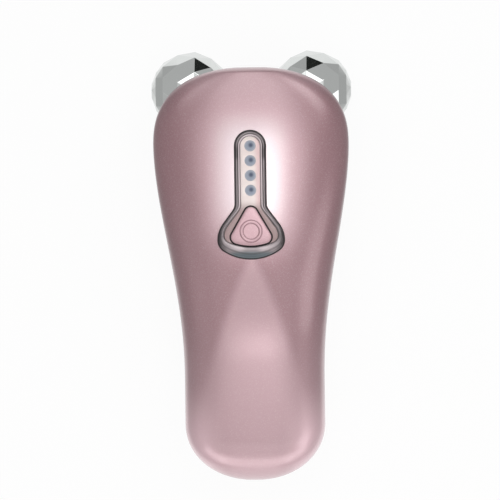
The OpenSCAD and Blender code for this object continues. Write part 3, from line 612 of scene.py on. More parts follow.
def bezel_finish(name, colour):
    """Smoke-grey metallised plastic. The attribute band runs from 0 at the outer edge to 1 at the
    inner one: painted shade over the outer roll and the groove, painted highlight over the inner."""
    f = Finish(name, metallic=0.75, coat=0.3)
    x, y = f.axes()[:2]
    band = f.value(f.node("Attribute", {"attribute_name": "band"}).outputs["Fac"])
    cloud, brush = f.noise(70, 2.0), f.noise(2400, 2.0, stretch=(0.1, 1, 1))
    wide = x.math("ABSOLUTE")
    painted_shade_tone, painted_highlight_tone, painted_reflection_tone = (tinted(colour, 0.22), tinted(colour, 2.3),
                         tinted(colour, 0.72, 1.05, 1.12))
    heel = 1 - y.step(0.0034, 0.0048)
    # Painted highlights on both sides below the button, and painted shade at the corners and at
    # the stem's end
    painted_highlight_patch = (wide.step(0.0012, 0.0040) * (1 - wide.step(0.0070, 0.0088))
             * (1 - y.step(0.0050, 0.0068)))
    shade = (wide.step(0.0080, 0.0096) * y.step(0.0050, 0.0068) * (1 - y.step(0.0090, 0.0125))
             + y.step(0.0320, 0.0340) * (1 - y.step(0.0355, 0.0385)))
    base = f.blend(cloud.step(0.3, 0.75) * 0.4, colour, tinted(colour, 1.25))
    # Painted highlights on both sides below the button
    base = f.blend(painted_highlight_patch * 0.55, base, painted_highlight_tone)
    # Painted reflection: teal grey at the foot of the flare
    base = f.blend(heel * (1 - wide.step(0.0045, 0.0085)) * 0.9, base, painted_reflection_tone)
    # Painted shade at the corners and at the stem's end
    base = f.blend(shade * 0.75, base, painted_shade_tone)
    # Painted shade in the groove between the bands
    base = f.blend(band.step(0.50, 0.56) * (1 - band.step(0.64, 0.72)) * 0.5, base, painted_shade_tone)
    # Painted highlight over the inner roll along the stem
    base = f.blend(band.step(0.74, 0.86) * y.step(0.013, 0.020) * 0.8, base, painted_highlight_tone)
    # Painted shade over the outer roll
    base = f.blend(1 - band.step(0.20, 0.36), base, painted_shade_tone)
    return f.finished(base, 0.24 + 0.08 * cloud + 0.04 * brush, brush, 0.05, 0.00002)


def plate_finish(name, colour):
    """Satin cream-pink plastic: rosier along its right side, with painted shade beside the
    button.
    """
    f = Finish(name, coat=0.15)
    x, y = f.axes()[:2]
    cloud, fine = f.noise(45, 2.0), f.noise(2600, 2.0)
    rosy = tinted(colour, 0.90, 0.70, 0.73)
    base = f.blend(x.step(0.0008, 0.0026) * 0.85, colour, rosy)
    base = f.blend(cloud.step(0.3, 0.75) * 0.25, base, rosy)
    # Painted shade beside the button
    base = f.blend(1 - y.step(0.0165, 0.0205), base, tinted(colour, 0.42, 0.33, 0.34))
    return f.finished(base, 0.36 + 0.08 * cloud, fine, 0.06, 0.00003)


def lens_finish(name, colour):
    """Clouded lenses: a soft darker spot where the lamp's die sits under each of them."""
    f = Finish(name, ior=1.49)
    f.set("Specular IOR Level", 0.2)
    x, y = f.axes()[:2]
    # The same for every window: y counted from the middle between it and the one below
    along = (y - (WINDOW_TOP - 3.5 * WINDOW_PITCH) * MM).math("MODULO", WINDOW_PITCH * MM)
    up = along - WINDOW_PITCH / 2 * MM
    spot = 1 - distance(x - DIE_OFFSET * MM, up - DIE_OFFSET * MM).step(0.0002, 0.0011)
    rim = distance(x, up).step(0.0011, 0.0018)
    cloud = f.noise(500, 3.0)
    base = f.blend(cloud.step(0.3, 0.8) * 0.5, colour, tinted(colour, 1.2))
    base = f.blend(spot * 0.85, base, (0.045, 0.06, 0.11))
    base = f.blend(rim * 0.6, base, (0.50, 0.50, 0.54))
    return f.finished(base, 0.35 + 0.12 * cloud, cloud, 0.06, 0.00003)


def board_finish(name, colour):
    """Green solder mask with the faint relief of the tracks under it."""
    f = Finish(name, coat=0.4)
    node = f.node("TexBrick", {"offset": 0.37, "squash": 1.0}, Vector=f.coords, Scale=210,
                  Mortar_Size=0.012, Mortar_Smooth=0.3)
    tracks = 1 - f.value(node.outputs["Fac"])
    weave = f.noise(1500, 2.0)
    base = f.blend(tracks * 0.5, tinted(colour, 1.6), colour)
    return f.finished(base, 0.32 + 0.1 * weave, tracks + weave * 0.2, 0.2, 0.00004)


def winding_finish(name, colour):
    """Enamelled copper wire, wound close round the coil's core, with painted shade between the
    turns.
    """
    f = Finish(name, metallic=0.8, coat=0.5)
    turns = (f.axes()[2] * (2 * math.pi / 0.00035)).math("SINE")
    # Painted shade between the turns
    base = f.blend(turns.step(-1, 1), tinted(colour, 0.35), colour)
    return f.finished(base, 0.3 + 0.1 * f.noise(300), turns, 0.6, 0.00008)


def film_finish(name, colour):
    """Thin plastic film drawn over the battery's pouch, with slight creases."""
    f = Finish(name, coat=0.8, coat_roughness=0.12)
    crease, cloud = f.noise(90, 4.0, stretch=(1, 0.25, 1)), f.noise(30, 2.0)
    base = f.blend(cloud.step(0.3, 0.7) * 0.4, colour, tinted(colour, 1.25))
    return f.finished(base, 0.3 + 0.15 * crease, crease, 0.35, 0.0003)


def foam_finish(name, colour):
    """Adhesive foam with open pores and painted shade in them."""
    f = Finish(name)
    pores = f.cells(1400)
    # Painted shade in the pores
    base = f.blend(pores.step(0.1, 0.6), tinted(colour, 0.5), colour)
    return f.finished(base, 0.85 + 0.1 * pores, pores, 0.7, 0.0002)


def darken_low_faces(obj, name, height, top_y=math.inf):
    """A second, dark finish of painted shade for the faces that lie in the gap round the button:
    those below a height over the crown's arc."""
    obj.data.materials.append(moulded_finish(name, GAP_SHADE_COLOUR, 0.6))
    for face in obj.data.polygons:
        y, z = face.center.y / MM, face.center.z / MM
        if y < top_y and z < crown_arc(y) + height:
            face.material_index = 1


# ---------------------------------------------------------------- settings


class ShellSettings(bpy.types.PropertyGroup):
    colour: FloatVectorProperty(name="Pearl colour", description="Colour of the pearl paint",
                                subtype="COLOR", default=(0.52, 0.33, 0.36), min=0, max=1)
    rows: IntProperty(name="Rows", description="Rows of faces along a shell's middle",
                      default=84, min=20, max=160)
    columns: IntProperty(name="Columns", description="Columns of faces across a shell",
                         default=112, min=24, max=200)


class RollerSettings(bpy.types.PropertyGroup):
    colour: FloatVectorProperty(name="Plating colour", description="Colour of the plating",
                                subtype="COLOR", default=(0.73, 0.75, 0.74), min=0, max=1)
    edge: FloatProperty(name="Edge radius", description="Softness of the facets' edges, mm",
                        default=0.10, min=0.02, max=0.5)


class PanelSettings(bpy.types.PropertyGroup):
    bezel_colour: FloatVectorProperty(name="Bezel colour", description="Smoke-grey metal",
                                      subtype="COLOR", default=(0.17, 0.145, 0.15), min=0,
                                      max=1)
    plate_colour: FloatVectorProperty(name="Plate colour", description="Cream-pink plate",
                                      subtype="COLOR", default=(0.78, 0.69, 0.66), min=0,
                                      max=1)
    window_colour: FloatVectorProperty(name="Window colour", description="Clouded lenses",
                                       subtype="COLOR", default=(0.27, 0.30, 0.36), min=0,
                                       max=1)


class StageSettings(bpy.types.PropertyGroup):
    height: FloatProperty(name="Camera distance", description="Distance from the device",
                          default=1.978, min=0.5, max=5, unit="LENGTH")
    frame: FloatProperty(name="Frame width", description="Width that the picture shows",
                         default=0.15625, min=0.1, max=0.4, unit="LENGTH")
    roll: FloatProperty(name="Roll", description="Lean of the head to the left",
                        default=math.radians(0.78), subtype="ANGLE")
    tilt: FloatProperty(name="Tilt", description="Lean of the camera toward the right side",
                        default=math.radians(1.6), subtype="ANGLE")


# ---------------------------------------------------------------- shells


def hollow_shell(name, outer, inner):
    """An outer skin and a lining of half rings, closed along the seam and at both ends."""
    n, m = len(outer), len(outer[0])
    base = n * m
    points = [p for ring in list(outer) + list(inner) for p in ring]
    faces = []
    for i in range(n - 1):
        for j in range(m - 1):
            a = i * m + j
            faces.append((a, a + m, a + m + 1, a + 1))
            faces.append((base + a, base + a + 1, base + a + m + 1, base + a + m))
        r, l = i * m, i * m + m - 1
        faces += [(r, base + r, base + r + m, r + m), (l, l + m, base + l + m, base + l)]
    last = (n - 1) * m
    faces += [tuple(range(m)), tuple(base + j for j in range(m))[::-1],
              tuple(last + j for j in range(m))[::-1], tuple(base + last + j for j in range(m)),
              (0, m - 1, base + m - 1, base), (last + m - 1, last, base + last,
                                               base + last + m - 1)]
    return new_object(name, mesh_from(name, points, faces))


class TONING_OT_front_shell(bpy.types.Operator):
    """Builds the front shell with the seat of the panel cut into its crown"""
    bl_idname = "toning.front_shell"
    bl_label = "Front Shell"

    def execute(self, context):
        s = context.scene.toning_shell
        def rings(inset):
            ys = stations(TAIL_Y + inset, HEAD_Y - inset, TAIL_LENGTH - inset,
                          HEAD_LENGTH - inset, 36, s.rows, 46)
            return [half_ring(y, inset, front_rise(y, inset), front_fullness(y), 1, s.columns)
                    for y in ys]
        shell = hollow_shell("front_shell_skin", rings(0), rings(WALL))
        carve(shell, [new_object(name, loft(name, [at_height(bezel_outline(grow), h)
                                                   for h in (low, 3)]))
                      for name, grow, low in (("seat", 0.08, -SEAT_DEPTH),
                                              ("through", -0.9, -6))])
        smooth(shell)
        place(shell, pearl_finish("rose_pearl", s.colour), "handle", "front_shell")
        return {"FINISHED"}


class TONING_OT_rear_shell(bpy.types.Operator):
    """Builds the rear shell with its screw pockets and the mouth of the charging socket"""
    bl_idname = "toning.rear_shell"
    bl_label = "Rear Shell"

    def execute(self, context):
        s = context.scene.toning_shell
        def rings(inset):
            ys = stations(TAIL_Y + inset, NOSE_Y - inset, TAIL_LENGTH - inset,
                          NOSE_ROLL - inset, 36, s.rows, 36)
            return [half_ring(y, inset, rear_drop(y, inset), REAR_FULLNESS, -1, s.columns)
                    for y in ys]
        shell = hollow_shell("rear_shell_skin", rings(0), rings(WALL))
        pockets = [cylinder("pocket", (side * x, y, -2), (0, 0, 1),
                            float(seam(y)) - 3, POCKET_RADIUS)
                   for x, y in CASE_SCREWS for side in (-1, 1)]
        mouth = block("mouth",
                      (-MOUTH_HALF_WIDTH, TAIL_Y - 1, SOCKET_Z - MOUTH_HALF_HEIGHT),
                      (MOUTH_HALF_WIDTH, TAIL_Y + 4, SOCKET_Z + MOUTH_HALF_HEIGHT))
        carve(shell, pockets + [mouth])
        smooth(shell)
        place(shell, pearl_finish("rose_pearl_rear", s.colour), "handle", "rear_shell")
        return {"FINISHED"}


# ---------------------------------------------------------------- rollers


def facet_mesh(name):
    """The faceted ball round its own centre, with the outer end toward +X. Each row of points
    is turned by half a facet against the last one, and the caps have half as many points."""
    def ring(latitude, count, first):
        b = math.radians(latitude)
        return [(ROLLER_RADIUS * math.sin(b), ROLLER_RADIUS * math.cos(b) * math.cos(a),
                 ROLLER_RADIUS * math.cos(b) * math.sin(a))
                for a in (math.radians(first + 360 * i / count) for i in range(count))]
    n, cap, rows = FACETS, FACETS // 2, len(LATITUDES)
    turn = [FACET_PHASE + k * 180 / n for k in range(rows)]
    points = [p for k in range(rows) for p in ring(LATITUDES[k], n, turn[k])]
    inner, outer = len(points), len(points) + cap
    points += ring(-CAP_LATITUDE, cap, turn[0]) + ring(CAP_LATITUDE, cap, turn[-1])
    faces = []
    for k in range(rows - 1):
        for i in range(n):
            a, b = k * n + i, k * n + (i + 1) % n
            faces += [(a, b, a + n), (b, b + n, a + n)]
    o = (rows - 1) * n
    for j in range(cap):
        a, h, g = 2 * j, inner + j, inner + (j + 1) % cap
        faces += [(h, a, (a - 1) % n), (h, a + 1, a), (h, g, a + 1)]
        h, g = outer + j, outer + (j + 1) % cap
        faces += [(o + (a - 1) % n, o + a, h), (o + a, o + a + 1, h), (o + a + 1, g, h)]
    faces += [tuple(inner + j for j in range(cap)), tuple(outer + j for j in range(cap))[::-1]]
    return mesh_from(name, points, faces)


class TONING_OT_rollers(bpy.types.Operator):
    """Builds both faceted rollers with their bores and softened facet edges"""
    bl_idname = "toning.rollers"
    bl_label = "Rollers"

    def execute(self, context):
        s = context.scene.toning_roller
        plating = plated_finish("bright_plating", s.colour)
        for side, name in ((-1, "roller_left"), (1, "roller_right")):
            ball = new_object(name + "_facets", facet_mesh(name + "_facets"))
            bevel(ball, s.edge, 4)
            along, beyond = (1, 0, 0), ROLLER_RADIUS + 1.5
            start = (-beyond, 0, 0)
            carve(ball, [cylinder("bore", start, along, 2 * beyond, BORE_RADIUS),
                         cylinder("inner_seat", start, along, INNER_SEAT, SEAT_RADIUS),
                         cylinder("outer_seat", (OUTER_SEAT, 0, 0), along, 10, SEAT_RADIUS)])
            move = Matrix.Translation((MM * side * ROLLER_X, MM * ROLLER_Y, MM * ROLLER_Z))
            ball.data.transform(move @ Matrix.Diagonal((side, 1, 1, 1)))
            if side < 0:
                ball.data.flip_normals()
            smooth(ball, 3.5)
            place(ball, plating, name, name)
            cap = refined(name.replace("roller", "roller_cap"), name + "_cap", 0.06, 25)
            smooth(cap, 3)
            place(cap, plating, name, name.replace("roller", "roller_cap"))
        return {"FINISHED"}


# ---------------------------------------------------------------- panel


class TONING_OT_bezel(bpy.types.Operator):
    """Builds the keyhole bezel as two rounded bands with a groove between them"""
    bl_idname = "toning.bezel"
    bl_label = "Bezel"

    def execute(self, context):
        s = context.scene.toning_panel
        crest, inner = bezel_outline(-0.62), plate_outline(0.34)
        # The lip under the plate reaches inwards along the stem and stays clear of the button
        stem_only = ease((plate_outline(0)[:, 1] - LIP_FROM) / LIP_FADE)[:, None]
        lip = mix(plate_outline(0.9), plate_outline(-0.6), stem_only)
        # Each row: its outline, then its height along the stem and round the button, where
        # the groove between the two bands runs out
        profile = [(bezel_outline(0), -SEAT_DEPTH, -SEAT_DEPTH), (bezel_outline(0), 0.06, 0.06),
                   (bezel_outline(-0.07), 0.17, 0.17), (bezel_outline(-0.18), 0.225, 0.225),
                   (bezel_outline(-0.28), 0.215, 0.22), (bezel_outline(-0.33), 0.14, 0.16),
                   (bezel_outline(-0.39), 0.16, 0.18), (bezel_outline(-0.45), 0.33, 0.28),
                   (bezel_outline(-0.52), 0.41, 0.33), (crest, 0.445, 0.37),
                   (mix(crest, inner, 0.22), 0.445, 0.43), (mix(crest, inner, 0.36), 0.43, 0.445),
                   (mix(crest, inner, 0.43), 0.39, 0.445), (mix(crest, inner, 0.50), 0.35, 0.445),
                   (mix(crest, inner, 0.57), 0.37, 0.445), (mix(crest, inner, 0.64), 0.41, 0.44),
                   (mix(crest, inner, 0.78), 0.44, 0.43), (inner, 0.43, 0.40),
                   (plate_outline(0.18), 0.39, 0.36), (plate_outline(0.05), 0.28, 0.28),
                   (plate_outline(0), 0.12, 0.12), (plate_outline(0), LIP_TOP, LIP_TOP),
                   (lip, LIP_TOP, LIP_TOP), (lip, -SEAT_DEPTH, -SEAT_DEPTH)]
        rings = [at_height(o, mix(low, high, ease((o[:, 1] - GROOVE_FROM) / GROOVE_FADE)))
                 for o, high, low in profile]
        bezel = new_object("bezel_bands", loft("bezel_bands", rings, "joined"))
        # The skin that shows runs over the 18 rows between the second ring and the twentieth
        band = bezel.data.attributes.new("band", "FLOAT", "POINT")
        rows = np.clip((np.arange(len(rings)) - 1) / 18, 0, 1)
        band.data.foreach_set("value", np.repeat(rows, len(rings[0])).astype(np.float32))
        smooth(bezel, 38)
        place(bezel, bezel_finish("smoke_metal", s.bezel_colour), "handle", "panel_bezel")
        return {"FINISHED"}


class TONING_OT_plate(bpy.types.Operator):
    """Builds the cream-pink plate with its window holes and the notch for the button"""
    bl_idname = "toning.plate"
    bl_label = "Panel Plate"

    def execute(self, context):
        s = context.scene.toning_panel
        def flat(name, outline, low, high):
            rings = [np.column_stack([outline, np.full(len(outline), h)])
                     for h in (low, high)]
            return new_object(name, loft(name, rings))
        plate = flat("plate_face", plate_outline(-0.08), LIP_TOP, 0.05)
        cutters = [cylinder("hole", (0, WINDOW_TOP - k * WINDOW_PITCH, -3), (0, 0, 1), 6,
                            WINDOW_RADIUS) for k in range(4)]
        cutters.append(flat("notch", button_outline(BUTTON_GAP), -3, 3))
        cutters.append(block("open_side", (-BUTTON_CORNER_X, PANEL_LOW, -3),
                             (BUTTON_CORNER_X, BUTTON_CORNER_Y, 3)))
        carve(plate, cutters)
        bevel(plate, 0.07, 50)
        lay_on_crown(plate.data)
        smooth(plate)
        place(plate, plate_finish("cream_plate", s.plate_colour), "handle", "panel_plate")
        # Painted shade on the plate's faces in the gap round the button
        darken_low_faces(plate, "plate_gap_shade", 0.045, BUTTON_LOW + BUTTON_LENGTH + 1)
        return {"FINISHED"}


def repeat_tree(name):
    """Geometry nodes: one object repeated on the points of a mesh, with one material."""
    tree = bpy.data.node_groups.new(name, "GeometryNodeTree")
    face = tree.interface
    for socket, kind in (("Points", "Geometry"), ("Piece", "Object"), ("Turn", "Vector"),
                         ("Size", "Float"), ("Finish", "Material")):
        face.new_socket(socket, in_out="INPUT", socket_type="NodeSocket" + kind)
    face.new_socket("Pieces", in_out="OUTPUT", socket_type="NodeSocketGeometry")
    add = tree.nodes.new
    start, end = add("NodeGroupInput"), add("NodeGroupOutput")
    points, info = add("GeometryNodeMeshToPoints"), add("GeometryNodeObjectInfo")
    spread, real = add("GeometryNodeInstanceOnPoints"), add("GeometryNodeRealizeInstances")
    coat = add("GeometryNodeSetMaterial")
    links = ((start.outputs["Points"], points.inputs["Mesh"]),
             (points.outputs[0], spread.inputs["Points"]),
             (start.outputs["Piece"], info.inputs["Object"]),
             (info.outputs["Geometry"], spread.inputs["Instance"]),
             (start.outputs["Turn"], spread.inputs["Rotation"]),
             (start.outputs["Size"], spread.inputs["Scale"]),
             (spread.outputs[0], real.inputs[0]), (real.outputs[0], coat.inputs["Geometry"]),
             (start.outputs["Finish"], coat.inputs["Material"]),
             (coat.outputs[0], end.inputs[0]))
    for a, b in links:
        tree.links.new(a, b)
    return tree


def repeated(name, piece, places, material, turn=(0, 0, 0), size=1.0):
    """A plain mesh with the piece at every place, in millimetres, through the node tree."""
    obj = new_object(name, raw_mesh(name, places))
    tree = bpy.data.node_groups.get("repeat_on_points") or repeat_tree("repeat_on_points")
    nodes = obj.modifiers.new("repeat", "NODES")
    nodes.node_group = tree
    values = {"Piece": piece, "Turn": turn, "Size": size, "Finish": material}
    for item in tree.interface.items_tree:
        if item.in_out == "INPUT" and item.name in values:
            nodes[item.identifier] = values[item.name]
    settle(obj)
    return obj


class TONING_OT_windows(bpy.types.Operator):
    """Builds the four clouded lenses, each a shallow dome on a flange"""
    bl_idname = "toning.windows"
    bl_label = "Indicator Windows"

    def execute(self, context):
        s = context.scene.toning_panel
        r = WINDOW_RADIUS - 0.03
        profile = [(r + 0.33, -SEAT_DEPTH), (r + 0.33, LIP_TOP - 0.02), (r, LIP_TOP - 0.02),
                   (r, 0.0), (r - 0.05, 0.04), (r * 0.8, 0.09), (r * 0.55, 0.125),
                   (r * 0.25, 0.147), (r * 0.05, 0.15)]
        lens = smooth(new_object("lens", loft("lens", turned(profile, 48))), 35)
        glaze = lens_finish("clouded_lens", s.window_colour)
        lenses = repeated("window_lenses", lens, [(0, WINDOW_TOP - k * WINDOW_PITCH, 0)
                                                  for k in range(4)], glaze)
        bpy.data.objects.remove(lens)
        for v in lenses.data.vertices:
            v.co.z += MM * float(crown_arc(v.co.y / MM))
        place(lenses, glaze, "handle",
              *("led_window_%d" % k for k in (1, 2, 3, 4)))
        return {"FINISHED"}


class TONING_OT_button(bpy.types.Operator):
    """Builds the triangular button with its raised ring, flange and stem"""
    bl_idname = "toning.button"
    bl_label = "Button"

    def execute(self, context):
        s = context.scene.toning_shell
        centre = np.array([0, RING_CENTRE_Y])
        def circle(radius):
            way = button_outline(0) - centre
            return centre + radius * way / np.linalg.norm(way, axis=1)[:, None]
        side, flange, edge = (button_outline(grow) for grow in (0, BUTTON_FLANGE, -0.75))
        stem, top, ring = circle(BUTTON_STEM), BUTTON_PROUD, BUTTON_PROUD + RING_RISE
        outer, inner = RING_RADIUS, RING_RADIUS - RING_WIDTH
        profile = [(stem, STEM_LOW), (stem, FLANGE_LOW), (flange, FLANGE_LOW),
                   (flange, FLANGE_TOP), (side, FLANGE_TOP), (side, -0.22), (side, 0.02),
                   (button_outline(-0.05), 0.12), (button_outline(-0.16), 0.2),
                   (button_outline(-0.36), 0.27), (edge, 0.32),
                   (mix(edge, circle(outer), 0.6), top), (circle(outer), top),
                   (circle(outer - 0.06), ring - 0.06), (circle(outer - 0.16), ring),
                   (circle(inner + 0.16), ring), (circle(inner + 0.06), ring - 0.06),
                   (circle(inner), top - 0.03), (circle(inner - 0.5), top - 0.04),
                   (circle(0.9), top - 0.02), (circle(0.2), top - 0.01)]
        button = new_object("button_face", loft("button_face", [at_height(o, h)
                                                                for o, h in profile]))
        smooth(button, 40)
        place(button, button_finish("button_pearl", s.colour), "button", "button_cap")
        # Painted shade on the button's walls and flange in the gap
        darken_low_faces(button, "button_gap_shade", 0.14)
        return {"FINISHED"}


# ---------------------------------------------------------------- small and inner parts


def new_screw(length):
    """A pan-head screw with a cross recess, its seat at the origin and its tip down."""
    radius, head, high = SCREW_RADIUS, SCREW_RADIUS * 1.9, SCREW_RADIUS * 1.4
    profile = [(radius * 0.35, -length), (radius * 0.95, -length + 0.6)]
    for k in range(int((length - 1.0) / THREAD_PITCH)):
        h = -length + 0.7 + k * THREAD_PITCH
        profile += [(radius, h), (radius * 0.84, h + THREAD_PITCH / 2)]
    profile += [(radius * 0.95, -0.05), (head * 0.97, 0), (head, high * 0.35),
                (head * 0.93, high * 0.72), (head * 0.7, high * 0.95), (head * 0.3, high)]
    screw = new_object("screw", loft("screw", turned(profile, 28)))
    arm, half = head * 0.55, radius * 0.24
    carve(screw, [block("slot", (-arm, -half, high * 0.35), (arm, half, high + 1)),
                  block("slot", (-half, -arm, high * 0.36), (half, arm, high + 1))])
    return smooth(screw, 40)


class TONING_OT_screws(bpy.types.Operator):
    """Repeats one screw on the places of every group of fasteners"""
    bl_idname = "toning.screws"
    bl_label = "Screws"

    def execute(self, context):
        steel = turned_metal_finish("screw_steel", (0.50, 0.51, 0.53), axis=2)
        plate_y = NOSE_Y + 2.4
        plate_x = float(half_width(plate_y, WALL)) - 4.6
        down, up = (0, 0, 0), (math.pi, 0, 0)
        def on_both_sides(*places):
            return [(side * x, y, z) for side in (-1, 1) for x, y, z in places]
        # Each group: the length of its screws, the way their tips point and their places
        groups = {
            "bracket_screws": (BRACKET_SCREW, down, on_both_sides(
                (BRACKET_SCREW_X, ROLLER_Y - 3.3, HEAD_SEAM + 3.6))),
            "plate_screws": (PLATE_SCREW, up, on_both_sides((plate_x, plate_y, HEAD_SEAM + 1))),
            "board_screws": (BOARD_SCREW, up, on_both_sides(
                *((BOARD_SCREW_X, y, BOARD_BOTTOM) for y in (BOARD_REAR + 4, NOSE_Y - 8.9)))),
            "case_screws": (CASE_SCREW, up, on_both_sides(
                *((x, y, float(seam(y)) - 5) for x, y in CASE_SCREWS))),
        }
        for node, (length, turn, places) in groups.items():
            screw = new_screw(length)
            piece = repeated(node + "_set", screw, places, steel, turn)
            bpy.data.objects.remove(screw)
            place(piece, steel, "handle", node)
        screw = new_screw(AXLE_SCREW)
        ends = [repeated("axle_screw", screw,
                         [(side * (ROLLER_X + AXLE_END), ROLLER_Y, ROLLER_Z)], steel,
                         (0, side * math.pi / 2, 0)) for side in (-1, 1)]
        bpy.data.objects.remove(screw)
        bm = bmesh.new()
        for end in ends:
            bm.from_mesh(end.data)
        bm.to_mesh(ends[0].data)
        bm.free()
        bpy.data.objects.remove(ends[1])
        ends[0].name = "axle_screws_set"
        place(ends[0], steel, "handle", "axle_screws")
        return {"FINISHED"}


class TONING_OT_plain_parts(bpy.types.Operator):
    """Refines the turned and moulded parts and gives every carried-over node its finish"""
    bl_idname = "toning.plain_parts"
    bl_label = "Turned, Moulded and Inner Parts"

    def execute(self, context):
        colour = context.scene.toning_shell.colour
        steel = turned_metal_finish("turned_steel", (0.56, 0.57, 0.59))
        brass = turned_metal_finish("turned_brass", (0.66, 0.47, 0.20))
        black = moulded_finish("black_moulding", (0.022, 0.022, 0.025), 0.45, 0.4)
        white = moulded_finish("white_moulding", (0.80, 0.80, 0.77), 0.4)
        cover = pearl_finish("cover_pearl", colour, 0.6)
        shaped = {
            "head_plate": (cover, 0.15), "screw_plugs": (cover, 0.15),
            "roller_bracket": (black, 0.3), "axle_left": (steel, 0.1),
            "axle_right": (steel, 0.1), "axle_spacers": (white, 0.08),
            "axle_washers": (steel, 0.05), "charge_socket": (steel, 0.05),
            "tact_switch": (black, 0.15), "switch_plunger": (black, 0.1),
            "light_block": (white, 0.15), "controller_chip": (black, 0.08),
            "bushes_left": (brass, 0.06), "bushes_right": (brass, 0.06),
        }
        homes = {"bushes_left": "roller_left", "bushes_right": "roller_right",
                 "switch_plunger": "button"}
        for node, (material, width) in shaped.items():
            place(refined(node, node + "_fine", width), material,
                  homes.get(node, "handle"), node)
        lamp = moulded_finish("lamp_package", (0.86, 0.80, 0.52), 0.25, 0.05, coat=0.5)
        board = board_finish("circuit_board", (0.02, 0.16, 0.07))
        red = moulded_finish("red_insulation", (0.42, 0.03, 0.02), 0.5, 0.1)
        dark = moulded_finish("black_insulation", (0.02, 0.02, 0.02), 0.5, 0.1)
        carried = {
            "contact_left": brass, "contact_right": brass,
            "roller_lead_left": red, "roller_lead_right": dark, "battery_leads": dark,
            "socket_leads": dark, "main_board": board, "socket_board": board,
            "boost_coil": winding_finish("coil_winding", (0.55, 0.24, 0.08)),
            "battery": film_finish("battery_film", (0.05, 0.19, 0.36)),
            "battery_pads": foam_finish("grey_foam", (0.05, 0.05, 0.05)),
        }
        carried.update(("indicator_led_%d" % k, lamp) for k in (1, 2, 3, 4))
        for node, material in carried.items():
            give_finish(frame["nodes"][node].data, material)
        return {"FINISHED"}


# ---------------------------------------------------------------- stage


# Every lamp: its name, its place and its aim in millimetres, its width and height in metres
# and its power in watts. The two keys hang low over the crown and give it its soft light. The
# front cards show in the rollers, and the tail's lamps light its rolled end.
LAMPS = (
    ("key_core", (11, 29, 170), (11, 29, 30), 0.034, 0.078, 0.030),
    ("key_wide", (5, 23, 175), (5, 23, 30), 0.135, 0.105, 0.030),
    ("tail_soft", (0, -120, 150), (0, -85, 30), 0.16, 0.07, 0.012),
    ("tail_side_left", (-200, -310, 110), (-15, -60, 20), 0.22, 0.16, 0.09),
    ("tail_side_right", (200, -310, 110), (15, -60, 20), 0.22, 0.16, 0.05),
    ("tail_low", (0, -420, 120), (0, -60, 15), 0.4, 0.2, 0.24),
    ("ceiling", (0, -30, 1200), (0, -30, 0), 1.3, 1.3, 0.78),
    ("front_card", (0, 400, 720), (0, 55, 20), 0.34, 0.20, 0.27),
    ("front_left", (-430, 520, 560), (-10, 40, 20), 0.35, 0.30, 0.25),
    ("front_right", (430, 520, 560), (10, 40, 20), 0.35, 0.30, 0.70),
    ("right_card", (650, -300, 420), (20, 0, 20), 0.4, 0.4, 0.50),
    ("left_card", (-650, -300, 420), (-20, 0, 20), 0.4, 0.4, 0.08),
    ("right_low", (330, -420, 120), (20, -30, 20), 0.3, 0.2, 0.08),
    ("back_card", (0, -750, 520), (0, -40, 15), 0.8, 0.4, 0.25),
)
CAMERA_AIM = (-0.00087, 0.00477, 0.022)
WORLD_LEVEL, SENSOR_MM, FLOOR_HALF = 0.52, 36, 4000


def area_light(name, place_mm, aim_mm, width, height, power):
    lamp = bpy.data.lights.new(name, "AREA")
    lamp.shape, lamp.size, lamp.size_y, lamp.energy = "RECTANGLE", width, height, power
    obj = new_object(name, lamp)
    start, aim = Vector(place_mm) * MM, Vector(aim_mm) * MM
    obj.location = start
    obj.rotation_euler = (aim - start).to_track_quat("-Z", "Y").to_euler()
    obj.visible_camera = False


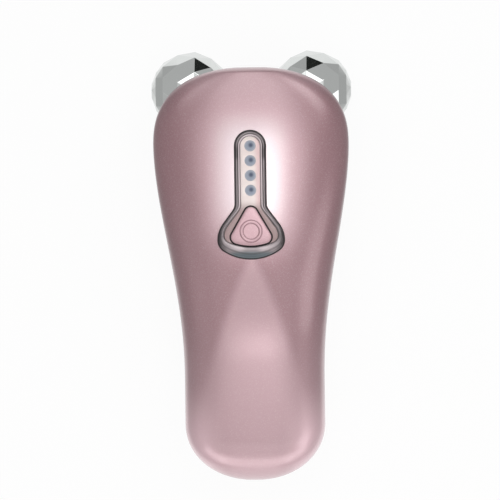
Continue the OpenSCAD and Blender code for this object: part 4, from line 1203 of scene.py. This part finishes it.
class TONING_OT_stage(bpy.types.Operator):
    """Sets the camera almost straight over the table, with the floor, the card and the lamps"""
    bl_idname = "toning.stage"
    bl_label = "Stage"

    def execute(self, context):
        s, scene = context.scene.toning_stage, context.scene
        camera = bpy.data.cameras.new("camera")
        camera.sensor_width, camera.clip_end = SENSOR_MM, 20
        camera.lens = SENSOR_MM * s.height / s.frame
        view = new_object("camera", camera)
        view.rotation_euler = Euler((0, s.tilt, -s.roll))
        axis = view.rotation_euler.to_matrix() @ Vector((0, 0, s.height))
        view.location = Vector(CAMERA_AIM) + axis
        scene.camera = view
        scene.view_settings.view_transform = "Standard"

        floor = new_object("floor", mesh_from("floor", [
            (FLOOR_HALF * x, FLOOR_HALF * y, -0.02)
            for x, y in ((-1, -1), (1, -1), (1, 1), (-1, 1))], [(0, 1, 2, 3)]))
        f = Finish("white_floor")
        f.set("Base Color", (0.86, 0.86, 0.86, 1))
        f.set("Roughness", 0.9)
        seen = f.node("LightPath").outputs
        ray = (f.value(seen["Is Camera Ray"]).math("MAXIMUM", f.value(seen["Is Glossy Ray"]))
               .math("MAXIMUM", f.value(seen["Is Transmission Ray"])))
        # Plating sees the white sheet near the device and the grey room to both sides of it
        far = f.axes()[0].math("ABSOLUTE").step(0.034, 0.056)
        level = 1 - far * f.value(seen["Is Glossy Ray"]) * 0.55
        glow = f.node("Emission", Color=(1, 1, 1, 1), Strength=level)
        both = f.node("MixShader", Fac=ray * 0.94)
        f.tree.links.new(f.surface.outputs[0], both.inputs[1])
        f.tree.links.new(glow.outputs[0], both.inputs[2])
        f.tree.links.new(both.outputs[0], f.tree.nodes["Material Output"].inputs["Surface"])
        floor.data.materials.append(f.material)

        # A dark card in front of the head shows in the few facets that turn black
        card = block("dark_card", (5, 153, 6), (38, 155, 42))
        g = Finish("dark_card_paper")
        g.set("Base Color", (0.008, 0.010, 0.008, 1))
        g.set("Roughness", 0.9)
        card.data.materials.append(g.material)
        card.visible_camera = False

        world = bpy.data.worlds.new("studio")
        scene.world = world
        world.use_nodes = True
        tree = world.node_tree
        back = tree.nodes["Background"]
        path = tree.nodes.new("ShaderNodeLightPath")
        level = tree.nodes.new("ShaderNodeMix")
        level.data_type = "FLOAT"
        tree.links.new(path.outputs["Is Camera Ray"], level.inputs[0])
        level.inputs[2].default_value, level.inputs[3].default_value = WORLD_LEVEL, 1.0
        tree.links.new(level.outputs[0], back.inputs["Strength"])
        back.inputs["Color"].default_value = (1, 1, 1, 1)

        for lamp in LAMPS:
            area_light(*lamp)
        return {"FINISHED"}


class TONING_PT_parts(bpy.types.Panel):
    """Lists the settings and the operators that build the device"""
    bl_label = "Toning Device"
    bl_idname = "TONING_PT_parts"
    bl_space_type = "VIEW_3D"
    bl_region_type = "UI"
    bl_category = "Toning Device"

    def draw(self, context):
        scene = context.scene
        for group in SETTINGS:
            settings = getattr(scene, group)
            for key in settings.__annotations__:
                self.layout.prop(settings, key)
        for step in STEPS:
            self.layout.operator(step.bl_idname)


SETTINGS = {"toning_shell": ShellSettings, "toning_roller": RollerSettings,
            "toning_panel": PanelSettings, "toning_stage": StageSettings}
STEPS = (TONING_OT_front_shell, TONING_OT_rear_shell, TONING_OT_rollers, TONING_OT_bezel,
         TONING_OT_plate, TONING_OT_windows, TONING_OT_button, TONING_OT_screws,
         TONING_OT_plain_parts, TONING_OT_stage)


def register():
    for cls in tuple(SETTINGS.values()) + STEPS + (TONING_PT_parts,):
        bpy.utils.register_class(cls)
    for key, cls in SETTINGS.items():
        setattr(bpy.types.Scene, key, PointerProperty(type=cls))


def unregister():
    for key in SETTINGS:
        delattr(bpy.types.Scene, key)
    for cls in (TONING_PT_parts,) + STEPS[::-1] + tuple(SETTINGS.values())[::-1]:
        bpy.utils.unregister_class(cls)


def main():
    register()
    for step in STEPS:
        area, action = step.bl_idname.split(".")
        getattr(getattr(bpy.ops, area), action)()


if __name__ == "__main__":
    main()
